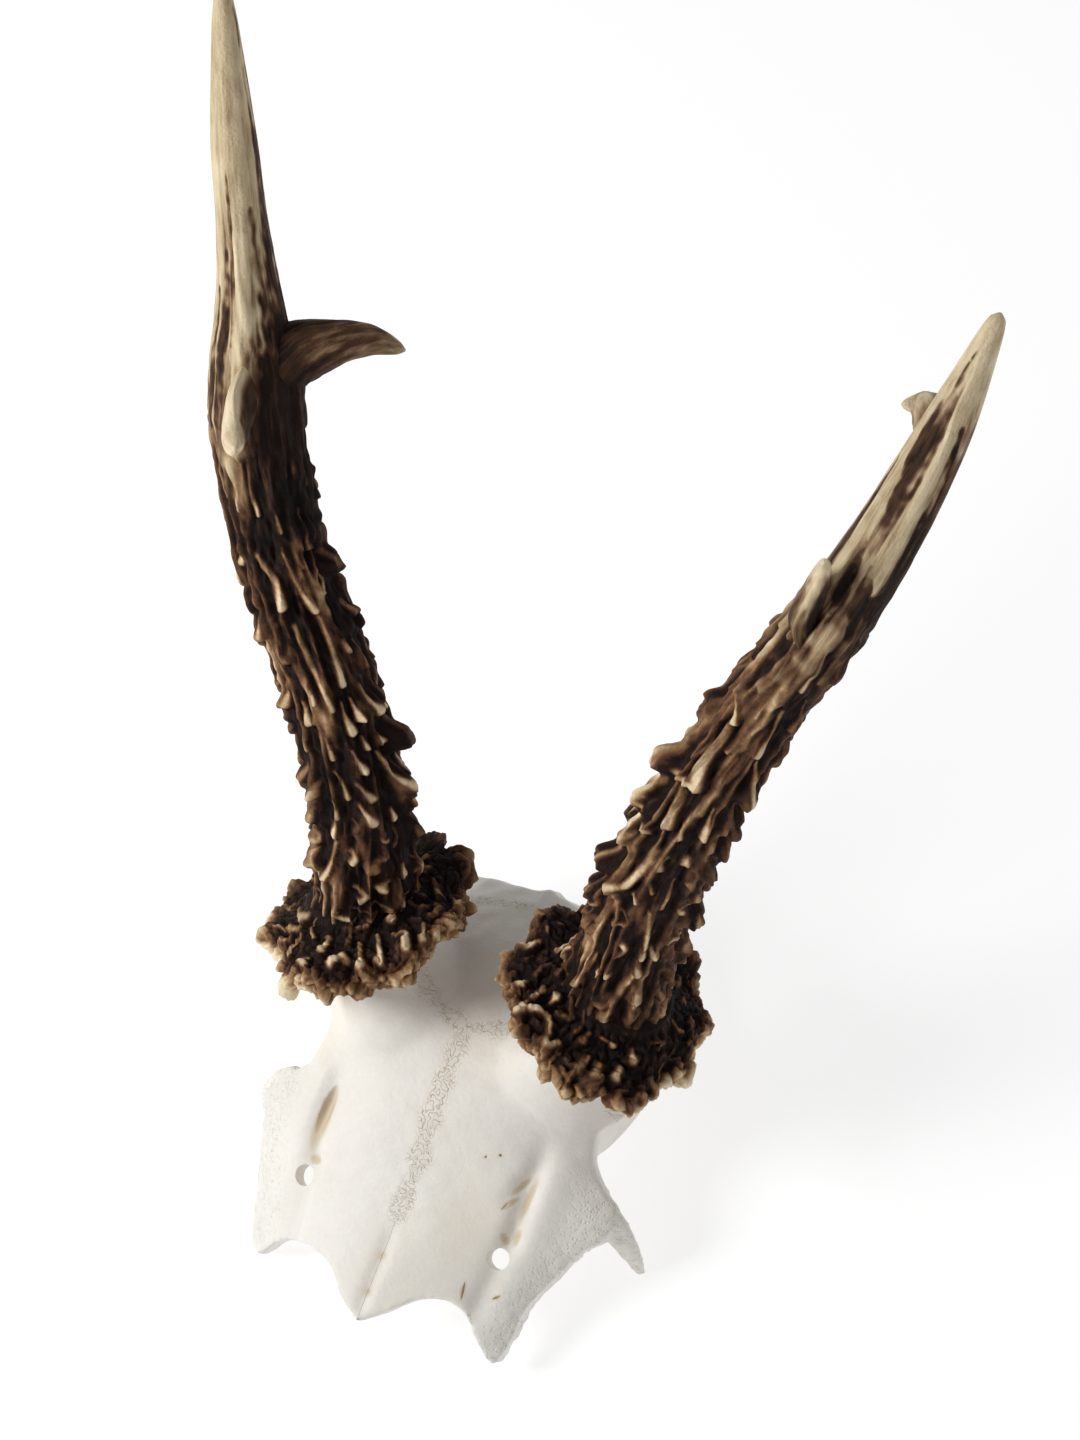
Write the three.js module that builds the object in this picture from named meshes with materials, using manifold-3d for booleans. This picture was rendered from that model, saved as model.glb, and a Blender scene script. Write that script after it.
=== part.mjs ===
// Roe buck skull cap (frontlet) with a pair of six-point antlers, millimetres, +Z up.
// The nose points to -Y, so +X is the animal's left. The cap stands on its flat saw cut.
// The model's origin is on the saw cut, on the midline of the back rim. Bones and antlers are
// worked out in the forehead frame: its origin is the nasion, +Y runs to the back of the head
// along the forehead, and +Z is square to the forehead.
import * as THREE from 'three';
import { mergeVertices } from 'three/addons/utils/BufferGeometryUtils.js';
import Module from 'manifold-3d';

const wasm = await Module();
wasm.setup();

// ---- Driving dimensions -------------------------------------------------------------

const GAP = 0.3;                     // width of the thin cuts between neighbouring pieces
const FOREHEAD_SLOPE = 18.7;         // degrees that the forehead falls towards the nose
const CUT_HEIGHT = -17.9;            // saw plane's height under the nasion, once sloped
const BACK_RIM = 101.2;              // back rim's distance behind the nasion, along the saw plane

const FOREHEAD_LENGTH = 65;          // nasion to bregma
const SKULL_LENGTH = 99;             // nasion to the nuchal crest
const PLATE_THICKNESS = 4.2;         // frontal bone over the eyes
const WALL = 2.8;                    // braincase wall
const EDGE_DROP = 11;                // fall of the forehead from the midline to the orbital rim
const EDGE_POWER = 2.3;
const ARCH_DROP = 13;                // rounding of the braincase from its crown to its sides
const LEG_BOTTOM = -62;              // walls run down to here before the saw cut
const LAMBDA_Y = 93;                 // parietal to occipital suture on the midline
const SQUAMOSAL_DEPTH = -31;         // top of the temporal bone on the side wall

const REAR_LEAN = 0.25;              // how far the back of the skull leans in as it goes down

const SCREW_RADIUS = 2.3;
const SCREW_HOLES = [[-25, 22.6], [22.7, 22.3]];
const SLIT_CENTRE = [24.6, 35];      // slit over the eye
const SLIT_SIZE = [1.3, 6.5, 2.2];

const BURR_HEIGHT = 11;
const BURR_LOBES = 9;
const BURR_TILT = [0.37, 0.62, 0.69]; // direction square to a burr, on the left side
const PEDICLE_RADIUS = 11.5;
const PEDICLE_LENGTH = 16;           // from the burr into the roof of the skull
const BEAM_ROOT = 10.5;              // radius of the beam where it leaves the burr
const ROOT_LENGTH = 0.055;           // share of the beam that is as plain as its root
const RIDGES = 7;                    // lengthwise ridges round a beam

// Height of the crown over the nasion-bregma chord, [y, z].
const CROWN = [[-6, -0.8], [0, 0], [20, -1.2], [45, 0.6], [65, -0.4], [80, -6.2], [90, -13],
  [98, -20], [104, -27]];
// Half-breadth at which the forehead has fallen by EDGE_DROP, [y, x].
const EDGE = [[-6, 28], [2, 30], [14, 33], [26, 38], [37, 42], [50, 38], [65, 37], [80, 36], [104, 32]];
// Half-breadth of the braincase and of the wall between the eye sockets, [y, x].
const WALL_BREADTH = [[6, 12], [18, 13.5], [30, 17], [40, 22], [50, 28], [58, 31], [70, 32.5],
  [82, 32], [91, 29.5], [97, 26], [102, 22]];

// Plan outline of the frontal bones from the nasion to the coronal suture, [x, y], per side.
const OUTLINE_LEFT = [[5, 3.4], [11, 8.8], [16.2, 10.5], [20, 9.3], [24, 4.8], [28.2, 1.6],
  [29.8, 8], [30.8, 14.6], [33.4, 20.4], [38.2, 30.6], [41.4, 34], [42, 38.3], [38.4, 43],
  [34.2, 48.5], [33.4, 53], [32.4, 58], [27, 68]];
const OUTLINE_RIGHT = [[5.7, 3.3], [9.8, 7.1], [14, 8.9], [19.6, 9.6], [25.2, 7.6], [32, 2.2],
  [37, 8.7], [38.9, 14.5], [40.4, 20.2], [42.4, 31], [43, 36.6], [38.6, 41.5],
  [34.3, 45.4], [33.2, 50.3], [32, 57], [27, 68]];

// Side -1 is the animal's right antler, +1 its left. Beam points run from the burr to the
// tip; radii are [share of the length, radius]. Tines run from the beam's middle to their tips.
// A knob is [share of the length, degrees round the beam, height]. The rim of the burr is
// [degrees, radius], from the animal's left through the nape side, which rearLift raises.
const ANTLERS = [
  {
    name: 'right', side: -1,
    beam: [[-27.4, 77.7, 4.8], [-29.4, 99, 26.5], [-36, 118.4, 45.6], [-47, 137.4, 63.7],
      [-53.6, 158.2, 82.8], [-56, 178, 100], [-60.5, 201.8, 119.6], [-64.2, 222, 135]],
    radii: [[0, 11.6], [0.15, 9.8], [0.3, 9.4], [0.45, 8.7], [0.58, 9.2], [0.66, 8.2], [0.7, 6.8],
      [0.78, 5], [0.86, 4.4], [0.95, 2.8], [0.985, 1.9], [1, 0.7]],
    frontFork: 0.585, rearFork: 0.66,
    frontTine: [[-54, 158, 83], [-52, 156.5, 92], [-47, 150.5, 101.5], [-42.2, 148.1, 108]],
    frontRadii: [[0, 5.6], [0.35, 5.2], [0.7, 3.1], [1, 0.7]],
    rearTine: [[-54, 168, 91], [-45.6, 174, 91.5], [-36.5, 179.6, 88], [-30.8, 181.2, 82.5]],
    rearRadii: [[0, 5.2], [0.25, 6.3], [0.5, 4.6], [0.75, 2.9], [1, 0.7]],
    rim: [[-180, 27.5], [-135, 22.5], [-100, 25], [-70, 26.5], [-15, 25], [27, 24], [75, 27.5],
      [100, 28], [135, 26.5], [160, 28], [180, 27.5]],
    rearLift: 3,
    knobs: [[0.21, 10, 3.2], [0.27, 0, 4.6], [0.33, 25, 2.6], [0.41, 20, 3.0], [0.48, 15, 2.8],
      [0.3, 170, 2.2], [0.38, 200, 2.2], [0.17, 185, 2.6], [0.46, 190, 1.8]],
  },
  {
    name: 'left', side: 1,
    beam: [[29.4, 77.8, 5.2], [35.9, 102.8, 30.1], [44.5, 121.7, 49.1], [54.2, 138.7, 64.5],
      [63.3, 152.9, 77.9], [71.5, 168.1, 91.2], [78.6, 185.1, 105.1], [84.4, 203, 120.4]],
    radii: [[0, 11.6], [0.12, 10], [0.25, 9.2], [0.35, 8.4], [0.45, 7.7], [0.6, 7], [0.7, 6.5],
      [0.8, 5.5], [0.88, 4.4], [0.95, 2.9], [0.985, 1.6], [1, 0.7]],
    frontFork: 0.595, rearFork: 0.83,
    frontTine: [[62.6, 152.5, 77.5], [62, 154, 86], [64.5, 158, 94.5], [66.2, 160.6, 101.5]],
    frontRadii: [[0, 5], [0.35, 4.8], [0.7, 3], [1, 0.7]],
    rearTine: [[78.6, 184, 104], [76, 188.6, 102], [72.8, 191.6, 98.6], [69, 192.4, 94]],
    rearRadii: [[0, 3.6], [0.4, 3.8], [0.7, 2.4], [1, 0.6]],
    rim: [[-180, 24.5], [-142, 24], [-100, 22.8], [-63, 25], [-13, 21], [34, 23.4], [75, 26],
      [110, 26.5], [145, 26.5], [180, 24.5]],
    rearLift: 1,
    knobs: [[0.12, 175, 2.8], [0.2, 190, 3], [0.29, 180, 3], [0.36, 170, 2.6], [0.5, 185, 2],
      [0.16, 5, 3.2], [0.24, -10, 3.2], [0.33, 10, 3], [0.42, 0, 2.6]],
  },
];

// ---- Materials ----------------------------------------------------------------------

const boneMaterial = new THREE.MeshStandardMaterial({ color: 0xece6d8, roughness: 0.55, metalness: 0 });
const beamMaterial = new THREE.MeshStandardMaterial({ color: 0x4a3222, roughness: 0.6, metalness: 0 });
const burrMaterial = new THREE.MeshStandardMaterial({ color: 0x7a5a3c, roughness: 0.65, metalness: 0 });
const tineMaterial = new THREE.MeshStandardMaterial({ color: 0xc9b48c, roughness: 0.4, metalness: 0 });

// ---- Helpers ------------------------------------------------------------------------

/** Smooth value at y of a list of [y, value] pairs. */
function along(table, y) {
  const last = table.length - 1;
  const clamped = THREE.MathUtils.clamp(y, table[0][0], table[last][0]);
  let i = 0;
  while (i < last - 1 && clamped > table[i + 1][0]) i += 1;
  const [y0, v0] = table[i];
  const [y1, v1] = table[i + 1];
  const before = table[Math.max(i - 1, 0)];
  const after = table[Math.min(i + 2, last)];
  const slope0 = (v1 - before[1]) / (y1 - before[0]);
  const slope1 = (after[1] - v0) / (after[0] - y0);
  const h = y1 - y0;
  const t = (clamped - y0) / h;
  const a = (1 + 2 * t) * (1 - t) * (1 - t) * v0 + t * (1 - t) * (1 - t) * h * slope0;
  const b = t * t * (3 - 2 * t) * v1 + t * t * (t - 1) * h * slope1;
  return a + b;
}

/** Moves every vertex of a geometry through a function that changes it in place. */
function mapped(geometry, change) {
  const position = geometry.getAttribute('position');
  const point = new THREE.Vector3();
  for (let i = 0; i < position.count; i += 1) {
    point.fromBufferAttribute(position, i);
    change(point);
    position.setXYZ(i, point.x, point.y, point.z);
  }
  return geometry;
}

/** Closed geometry to solid. */
function solid(geometry) {
  geometry.deleteAttribute('normal');
  geometry.deleteAttribute('uv');
  const merged = mergeVertices(geometry, 1e-3);
  const mesh = new wasm.Mesh({
    numProp: 3,
    vertProperties: new Float32Array(merged.getAttribute('position').array),
    triVerts: new Uint32Array(merged.index.array),
  });
  return new wasm.Manifold(mesh);
}

/** Solid back to geometry. */
function geometryOf(manifold) {
  const mesh = manifold.getMesh();
  const geometry = new THREE.BufferGeometry();
  geometry.setAttribute('position', new THREE.BufferAttribute(mesh.vertProperties, 3));
  geometry.setIndex(new THREE.BufferAttribute(mesh.triVerts, 1));
  geometry.computeVertexNormals();
  return geometry;
}

/** Prism over a closed plan outline of [x, y] points; lean slants it like the back of the skull. */
function prism(outline, bottom, top, lean = 0) {
  const shape = new THREE.Shape(outline.map(([x, y]) => new THREE.Vector2(x, y)));
  const geometry = new THREE.ExtrudeGeometry(shape, { depth: top - bottom, bevelEnabled: false });
  geometry.translate(0, 0, bottom);
  return solid(mapped(geometry, (p) => {
    p.y += lean * (p.z - crown(SKULL_LENGTH));
  }));
}

/** Cylinder bent along a curve; shape(s, angle) is its radius, and flat squeezes it. */
function limb(curve, s0, s1, radial, steps, shape, flat = 1) {
  const geometry = new THREE.CylinderGeometry(1, 1, 1, radial, steps);
  const across = new THREE.Vector3();
  const behind = new THREE.Vector3();
  mapped(geometry, (p) => {
    const s = s0 + (s1 - s0) * (p.y + 0.5);
    const reach = Math.hypot(p.x, p.z);
    const angle = Math.atan2(p.z, p.x);
    const tangent = curve.getTangentAt(s);
    across.set(1, 0, 0).addScaledVector(tangent, -tangent.x).normalize();
    behind.crossVectors(tangent, across);
    const radius = reach * shape(s, angle);
    p.copy(curve.getPointAt(s));
    p.addScaledVector(across, radius * Math.cos(angle));
    p.addScaledVector(behind, -radius * flat * Math.sin(angle));
  });
  return solid(geometry);
}

const curveThrough = (points) => new THREE.CatmullRomCurve3(points.map((p) => new THREE.Vector3(...p)));

// ---- Skull cap ----------------------------------------------------------------------

const crown = (y) => along(CROWN, y);

/** Outer surface of the forehead and roof of the skull. */
function roof(x, y) {
  return crown(y) - EDGE_DROP * (Math.abs(x) / along(EDGE, y)) ** EDGE_POWER;
}

/** Braincase and socket walls as one filled arch; inset moves it inwards for the cavity. */
function arch(yFront, yRear, inset, across, steps) {
  const curved = 0.7;
  const geometry = new THREE.BoxGeometry(2, 1, 1, across, steps, 1);
  return solid(mapped(geometry, (p) => {
    const y = yFront + (yRear - yFront) * (p.y + 0.5);
    const breadth = along(WALL_BREADTH, y) - inset;
    const turn = Math.min(Math.abs(p.x) / curved, 1) * Math.PI / 2;
    const x = breadth * Math.sin(turn) * Math.sign(p.x);
    const top = roof(x, y) - ARCH_DROP * (1 - Math.cos(turn)) - inset;
    const down = Math.max(0, (Math.abs(p.x) - curved) / (1 - curved));
    const side = top + (LEG_BOTTOM - top) * down;
    const isInner = p.z < 0;
    const lean = REAR_LEAN * THREE.MathUtils.smoothstep(y, 60, SKULL_LENGTH - 4);
    const z = isInner ? LEG_BOTTOM - 4 : side;
    p.set(isInner ? x * 0.02 : x, y + lean * (z - crown(y)), z);
  }));
}

/** Curved plate of the two frontal bones, cut to its plan outline. */
function frontalPlate() {
  const halfBreadth = 46;
  const rear = FOREHEAD_LENGTH + 2;
  const front = -3;
  const geometry = new THREE.BoxGeometry(2, 1, 1, 16, 11, 1);
  const plate = solid(mapped(geometry, (p) => {
    const x = p.x * halfBreadth;
    const y = front + (rear - front) * (p.y + 0.5);
    const z = roof(x, y);
    p.set(x, y, p.z > 0 ? z : z - PLATE_THICKNESS);
  }));
  const mirroredRight = OUTLINE_RIGHT.map(([x, y]) => [-x, y]).reverse();
  return plate.intersect(prism([[0, 0], ...OUTLINE_LEFT, ...mirroredRight], -80, 40));
}

/** Thin hooked process that runs from the rim of the eye socket towards the cheek. */
function zygomaticProcess(side) {
  const curve = curveThrough([[side * 35, 40.5, -11.5], [side * 40, 37.3, -14.5], [side * 43.6, 34, -19.5],
    [side * 46.6, 28.9, -29.5]]);
  const radii = [[0, 5], [0.33, 4.4], [0.66, 3], [1, 1.4]];
  return limb(curve, 0, 1, 12, 8, (s, angle) => along(radii, s) * (1 - 0.45 * Math.abs(Math.sin(angle))));
}

/** Direction square to the burr, out of the pedicle. */
function burrAxis(antler) {
  const [out, back, up] = BURR_TILT;
  return new THREE.Vector3(antler.side * out, back, up).normalize();
}

/** Short bone stalk under each burr. */
function pedicle(antler, grow) {
  const axis = burrAxis(antler);
  const top = new THREE.Vector3(...antler.beam[0]).addScaledVector(axis, -BURR_HEIGHT * 0.35 - GAP);
  const foot = top.clone().addScaledVector(axis, -PEDICLE_LENGTH);
  const curve = curveThrough([foot.toArray(), top.toArray()]);
  const flare = (s) => PEDICLE_RADIUS + grow + 3 * (1 - s) ** 2;
  return limb(curve, 0, 1, 16, 4, flare);
}

/** Lower side of the saw plane, square to the floor once the cap is sloped. */
function belowCut() {
  const geometry = new THREE.BoxGeometry(300, 400, 100);
  geometry.translate(0, 50, CUT_HEIGHT - 50);
  geometry.rotateX(THREE.MathUtils.degToRad(-FOREHEAD_SLOPE));
  return solid(geometry);
}

/** Screw holes and the slits over the eyes. */
function openings() {
  let cut = null;
  for (const side of [-1, 1]) {
    const hole = new THREE.CylinderGeometry(SCREW_RADIUS, SCREW_RADIUS, 30, 14);
    hole.rotateX(Math.PI / 2);
    hole.translate(...SCREW_HOLES[(side + 1) / 2], -5);
    const slit = new THREE.SphereGeometry(1, 10, 6);
    slit.scale(...SLIT_SIZE);
    slit.rotateZ(side * 0.25);
    slit.translate(side * SLIT_CENTRE[0], SLIT_CENTRE[1], roof(...SLIT_CENTRE));
    const both = solid(hole).add(solid(slit));
    cut = cut ? cut.add(both) : both;
  }
  return cut;
}

/** Region between two cross lines, each a list of [x, y] from the animal's right to its left. */
function between(frontLine, rearLine, lean = 0) {
  return prism([...frontLine, ...[...rearLine].reverse()], -90, 60, lean);
}

/** Upright block that spans x and z ranges over the whole length of the skull. */
function block(x0, x1, z0, z1) {
  return prism([[x0, -20], [x1, -20], [x1, 130], [x0, 130]], z0, z1);
}

/** A cross line from right to left, from its left half that starts on the midline. */
function bothSides(leftHalf) {
  const rightHalf = leftHalf.slice(1).reverse().map(([x, y]) => [-x, y]);
  return [...rightHalf, ...leftHalf];
}

const shifted = (line, distance) => line.map(([x, y]) => [x, y + distance]);

/** The bones of the cap, parted along their sutures. */
function skullBones() {
  const cavity = arch(4, SKULL_LENGTH - WALL, WALL, 16, 8);
  const shell = arch(10, SKULL_LENGTH, 0, 20, 10).subtract(cavity);
  let cap = shell.add(frontalPlate());
  for (const side of [-1, 1]) cap = cap.add(zygomaticProcess(side));
  cap = cap.subtract(openings()).subtract(belowCut());

  const coronal = bothSides([[0, FOREHEAD_LENGTH], [14, 73.5], [24, 79], [31, 72], [36, 57], [70, 56]]);
  const lambdoid = bothSides([[0, LAMBDA_Y], [16, LAMBDA_Y - 2], [70, LAMBDA_Y - 5]]);
  const half = GAP / 2;
  const front = [[-70, -20], [70, -20]];
  const rear = [[-70, 130], [70, 130]];
  const frontals = cap.intersect(between(front, shifted(coronal, -half)));
  const behind = cap.intersect(between(shifted(coronal, half), rear));
  const middle = behind.subtract(between(shifted(lambdoid, -half), rear, REAR_LEAN));
  const bones = {};
  let parietal = middle.intersect(block(-70, 70, SQUAMOSAL_DEPTH + half, 60));
  for (const antler of ANTLERS) {
    const { side, name } = antler;
    const [x0, x1] = side < 0 ? [-70, -half] : [half, 70];
    const stalk = pedicle(antler, 0).subtract(cavity);
    bones[`frontal_bone_${name}`] = frontals.intersect(block(x0, x1, -90, 60)).add(stalk);
    bones[`temporal_bone_${name}`] = middle.intersect(block(x0, x1, -90, SQUAMOSAL_DEPTH - half));
    parietal = parietal.subtract(pedicle(antler, GAP));
  }
  bones.parietal_bone = parietal;
  bones.occipital_bone = cap.intersect(between(shifted(lambdoid, half), rear, REAR_LEAN));
  return bones;
}

// ---- Antlers ------------------------------------------------------------------------

/** Radius of a beam with its ridges and knobs. */
function beamShape(antler) {
  return (s, angle) => {
    const rough = THREE.MathUtils.smoothstep(antler.frontFork + 0.1 - s, 0, 0.35);
    const ridge = 0.5 * Math.cos(RIDGES * angle + 6 * s) * (0.35 + rough);
    const sleeve = THREE.MathUtils.smoothstep(s, ROOT_LENGTH, ROOT_LENGTH + 0.02);
    const ridged = along(antler.radii, s) + ridge * Math.min(1, 8 * (1 - s));
    let radius = THREE.MathUtils.lerp(BEAM_ROOT, ridged, sleeve);
    for (const [at, degrees, height] of antler.knobs) {
      const turn = Math.atan2(Math.sin(angle - THREE.MathUtils.degToRad(degrees)),
        Math.cos(angle - THREE.MathUtils.degToRad(degrees)));
      radius += height * Math.exp(-(((s - at) / 0.016) ** 2) - (turn / 0.3) ** 2);
    }
    return radius;
  };
}

/** Coronet: a lathed disc whose rim is drawn out to its own radius and into lobes. */
function burr(antler) {
  const h = BURR_HEIGHT;
  const profile = [[0, -0.35 * h], [12.5, -0.35 * h], [17.5, -0.3 * h], [22.2, -0.05 * h],
    [23.2, 0.2 * h], [20.2, 0.42 * h], [16.5, 0.5 * h], [12.8, 0.65 * h], [0, 0.65 * h]];
  const turned = 23.2;
  const geometry = new THREE.LatheGeometry(profile.map(([r, y]) => new THREE.Vector2(r, y)), 36);
  mapped(geometry, (p) => {
    const angle = Math.atan2(-p.z, p.x);
    const reach = Math.hypot(p.x, p.z) / turned;
    const outer = THREE.MathUtils.smoothstep(reach, 0.55, 1);
    const rim = along(antler.rim, THREE.MathUtils.radToDeg(angle)) / turned;
    const lobe = 1 + 0.05 * Math.cos(BURR_LOBES * angle + antler.side);
    const wide = 1 + outer * (rim * lobe - 1);
    const sway = 1.2 * Math.cos(5 * angle - antler.side);
    const lift = antler.rearLift * Math.max(0, Math.sin(angle)) ** 2;
    p.set(p.x * wide, p.y + outer * (sway + lift), p.z * wide);
  });
  const axis = burrAxis(antler);
  const across = new THREE.Vector3(1, 0, 0).addScaledVector(axis, -axis.x).normalize();
  const behind = new THREE.Vector3().crossVectors(axis, across);
  const turn = new THREE.Matrix4().makeBasis(across, axis, behind.negate());
  geometry.applyMatrix4(turn);
  geometry.translate(...antler.beam[0]);
  return solid(geometry);
}

/** One antler, split at the coronet and at its two forks. */
function antlerPieces(antler) {
  const beam = curveThrough(antler.beam);
  const length = beam.getLength();
  const shape = beamShape(antler);
  const half = GAP / 2 / length;
  const { frontFork, rearFork, name } = antler;
  const pieces = {};
  const clearance = limb(beam, 0, 1, 18, 30, (s, angle) => shape(s, angle) + GAP);
  const root = BURR_HEIGHT * 0.25 / length;
  pieces[`burr_${name}`] = burr(antler).subtract(limb(beam, root, 0.12, 18, 4, () => BEAM_ROOT + GAP));
  pieces[`lower_beam_${name}`] = limb(beam, root + 2 * half, frontFork - half, 18, 20, shape);
  pieces[`mid_beam_${name}`] = limb(beam, frontFork + half, rearFork - half, 18, 6, shape);
  pieces[`top_tine_${name}`] = limb(beam, rearFork + half, 1, 16, 12, shape);
  const tine = (points, radii) => limb(curveThrough(points), 0, 1, 12, 8, (s) => along(radii, s));
  pieces[`front_tine_${name}`] = tine(antler.frontTine, antler.frontRadii).subtract(clearance);
  pieces[`rear_tine_${name}`] = tine(antler.rearTine, antler.rearRadii).subtract(clearance);
  return pieces;
}

// ---- Assembly -----------------------------------------------------------------------

const model = new THREE.Group();
const headFrame = new THREE.Group();
headFrame.rotation.x = THREE.MathUtils.degToRad(FOREHEAD_SLOPE);
headFrame.position.set(0, -BACK_RIM, -CUT_HEIGHT);
model.add(headFrame);

function place(pieces, materialOf) {
  for (const [name, piece] of Object.entries(pieces)) {
    const mesh = new THREE.Mesh(geometryOf(piece), materialOf(name));
    mesh.name = name;
    headFrame.add(mesh);
  }
}

const antlerMaterial = (name) => {
  if (name.startsWith('burr')) return burrMaterial;
  return name.includes('tine') ? tineMaterial : beamMaterial;
};

place(skullBones(), () => boneMaterial);
for (const antler of ANTLERS) place(antlerPieces(antler), antlerMaterial);

export default model;
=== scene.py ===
"""Roe buck skull cap with antlers: the fine bones, burrs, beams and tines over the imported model.

Shapes are worked out in millimetres in the forehead frame, whose origin is the nasion, +Y runs
to the back of the head along the forehead and +Z is square to it. place() turns a finished
mesh into the model's own frame, in metres.
"""
import math

import bmesh
import bpy
import numpy as np
from mathutils import Matrix, Vector
from mathutils.kdtree import KDTree


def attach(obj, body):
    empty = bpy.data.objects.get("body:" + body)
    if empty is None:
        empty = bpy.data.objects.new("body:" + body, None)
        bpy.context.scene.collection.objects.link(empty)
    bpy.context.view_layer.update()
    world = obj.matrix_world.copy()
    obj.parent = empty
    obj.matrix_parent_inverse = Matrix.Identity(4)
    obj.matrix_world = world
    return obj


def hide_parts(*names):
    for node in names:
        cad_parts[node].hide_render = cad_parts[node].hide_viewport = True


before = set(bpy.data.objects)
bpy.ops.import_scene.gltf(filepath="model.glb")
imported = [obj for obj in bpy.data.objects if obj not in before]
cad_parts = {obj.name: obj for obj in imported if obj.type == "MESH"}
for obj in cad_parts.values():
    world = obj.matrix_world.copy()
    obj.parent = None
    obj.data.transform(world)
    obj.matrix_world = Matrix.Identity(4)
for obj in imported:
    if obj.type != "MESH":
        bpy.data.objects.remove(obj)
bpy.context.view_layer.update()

bl_info = {
    "name": "Roe Deer Skull Cap",
    "version": (1, 0, 0),
    "blender": (4, 5, 0),
    "location": "View3D > Sidebar > Skull Cap",
    "description": "Builds the bones and antlers of a roe buck's skull cap around its packed model",
    "category": "Object",
}

MM = 0.001

# ---- Sizes of the head, in millimetres --------------------------------------------------

FOREHEAD_SLOPE = math.radians(18.7)  # as the cap lies on its saw cut
CUT_HEIGHT = -17.9                   # of the saw cut
BACK_RIM = 101.2                     # from the nasion back to the model's origin
FOREHEAD_LENGTH = 65
SKULL_LENGTH = 99
PLATE_THICKNESS = 4.2
PLATE_HALF = (46, 35)                # of the sheet that the brow plate is cut from
PLATE_MIDDLE_Y = 32
WALL = 2.8
EDGE_DROP = 11                       # from the crown to the edge of the brow plate
EDGE_POWER = 2.3
ARCH_DROP = 13                       # from the roof to the sides of the braincase
LEG_BOTTOM = -62                     # of the walls, before they are sawn off
LAMBDA_Y = 93
SQUAMOSAL_DEPTH = -31
REAR_LEAN = 0.25                     # of the back of the skull, from upright
SUTURE_REACH = 0.9                   # of a suture's stain
HAIR = 0.03                          # half the gap between two bones
SCREW_RADIUS = 2.3
SCREW_HOLES = {"right": (-25, 22.6), "left": (22.7, 22.3)}
PEDICLE_RADIUS = 11.5
SWELL_HEIGHT = 3.5
SWELL_X = 23
SWELL_Y = 66
SWELL_BREADTH = 11
SWELL_LENGTH = 14
BURR_TILT = (0.37, 0.62, 0.69)
KNOB_SHARE = 0.016                   # reach of a knob along the beam, as a share of its length
KNOB_TURN = 0.3                      # and round it, in radians

# Faces round and along each part.
ROOF_GRID = (90, 60)
CAVITY_GRID = (70, 50)
PLATE_GRID = (92, 70)
PROCESS_GRID = (24, 40)
STALK_GRID = (64, 48)
BURR_GRID = (420, 130)
BEAM_GRID = (184, 500)
TINE_GRID = (72, 90)
BONE_VOXEL = 0.55
SHARP_EDGE = math.radians(55)

# At places along the head: height of the roof's middle, half breadth of the brow and of the
# braincase. The outline is the brow plate's edge on each side, from the nasion backwards.
CROWN = [(-6, -0.8), (0, 0), (20, -1.2), (45, 0.6), (65, -0.4), (80, -6.2), (90, -13), (98, -20),
         (104, -27)]
EDGE = [(-6, 28), (2, 30), (14, 33), (26, 38), (37, 42), (50, 38), (65, 37), (80, 36), (104, 32)]
WALL_BREADTH = [(6, 12), (18, 13.5), (30, 17), (40, 22), (50, 28), (58, 31), (70, 32.5), (82, 32),
                (91, 29.5), (97, 26), (102, 22)]
OUTLINE = {
    "left": [(5, 3.4), (11, 8.8), (16.2, 10.5), (20, 9.3), (24, 4.8), (28.2, 1.6), (29.8, 8),
             (30.8, 14.6), (33.4, 20.4), (38.2, 30.6), (41.4, 34), (42, 38.3), (38.4, 43),
             (34.2, 48.5), (33.4, 53), (32.4, 58), (27, 68)],
    "right": [(5.7, 3.3), (9.8, 7.1), (14, 8.9), (19.6, 9.6), (25.2, 7.6), (32, 2.2), (37, 8.7),
              (38.9, 14.5), (40.4, 20.2), (42.4, 31), (43, 36.6), (38.6, 41.5), (34.3, 45.4),
              (33.2, 50.3), (32, 57), (27, 68)],
}
SIDES = {"right": -1, "left": 1}

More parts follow.
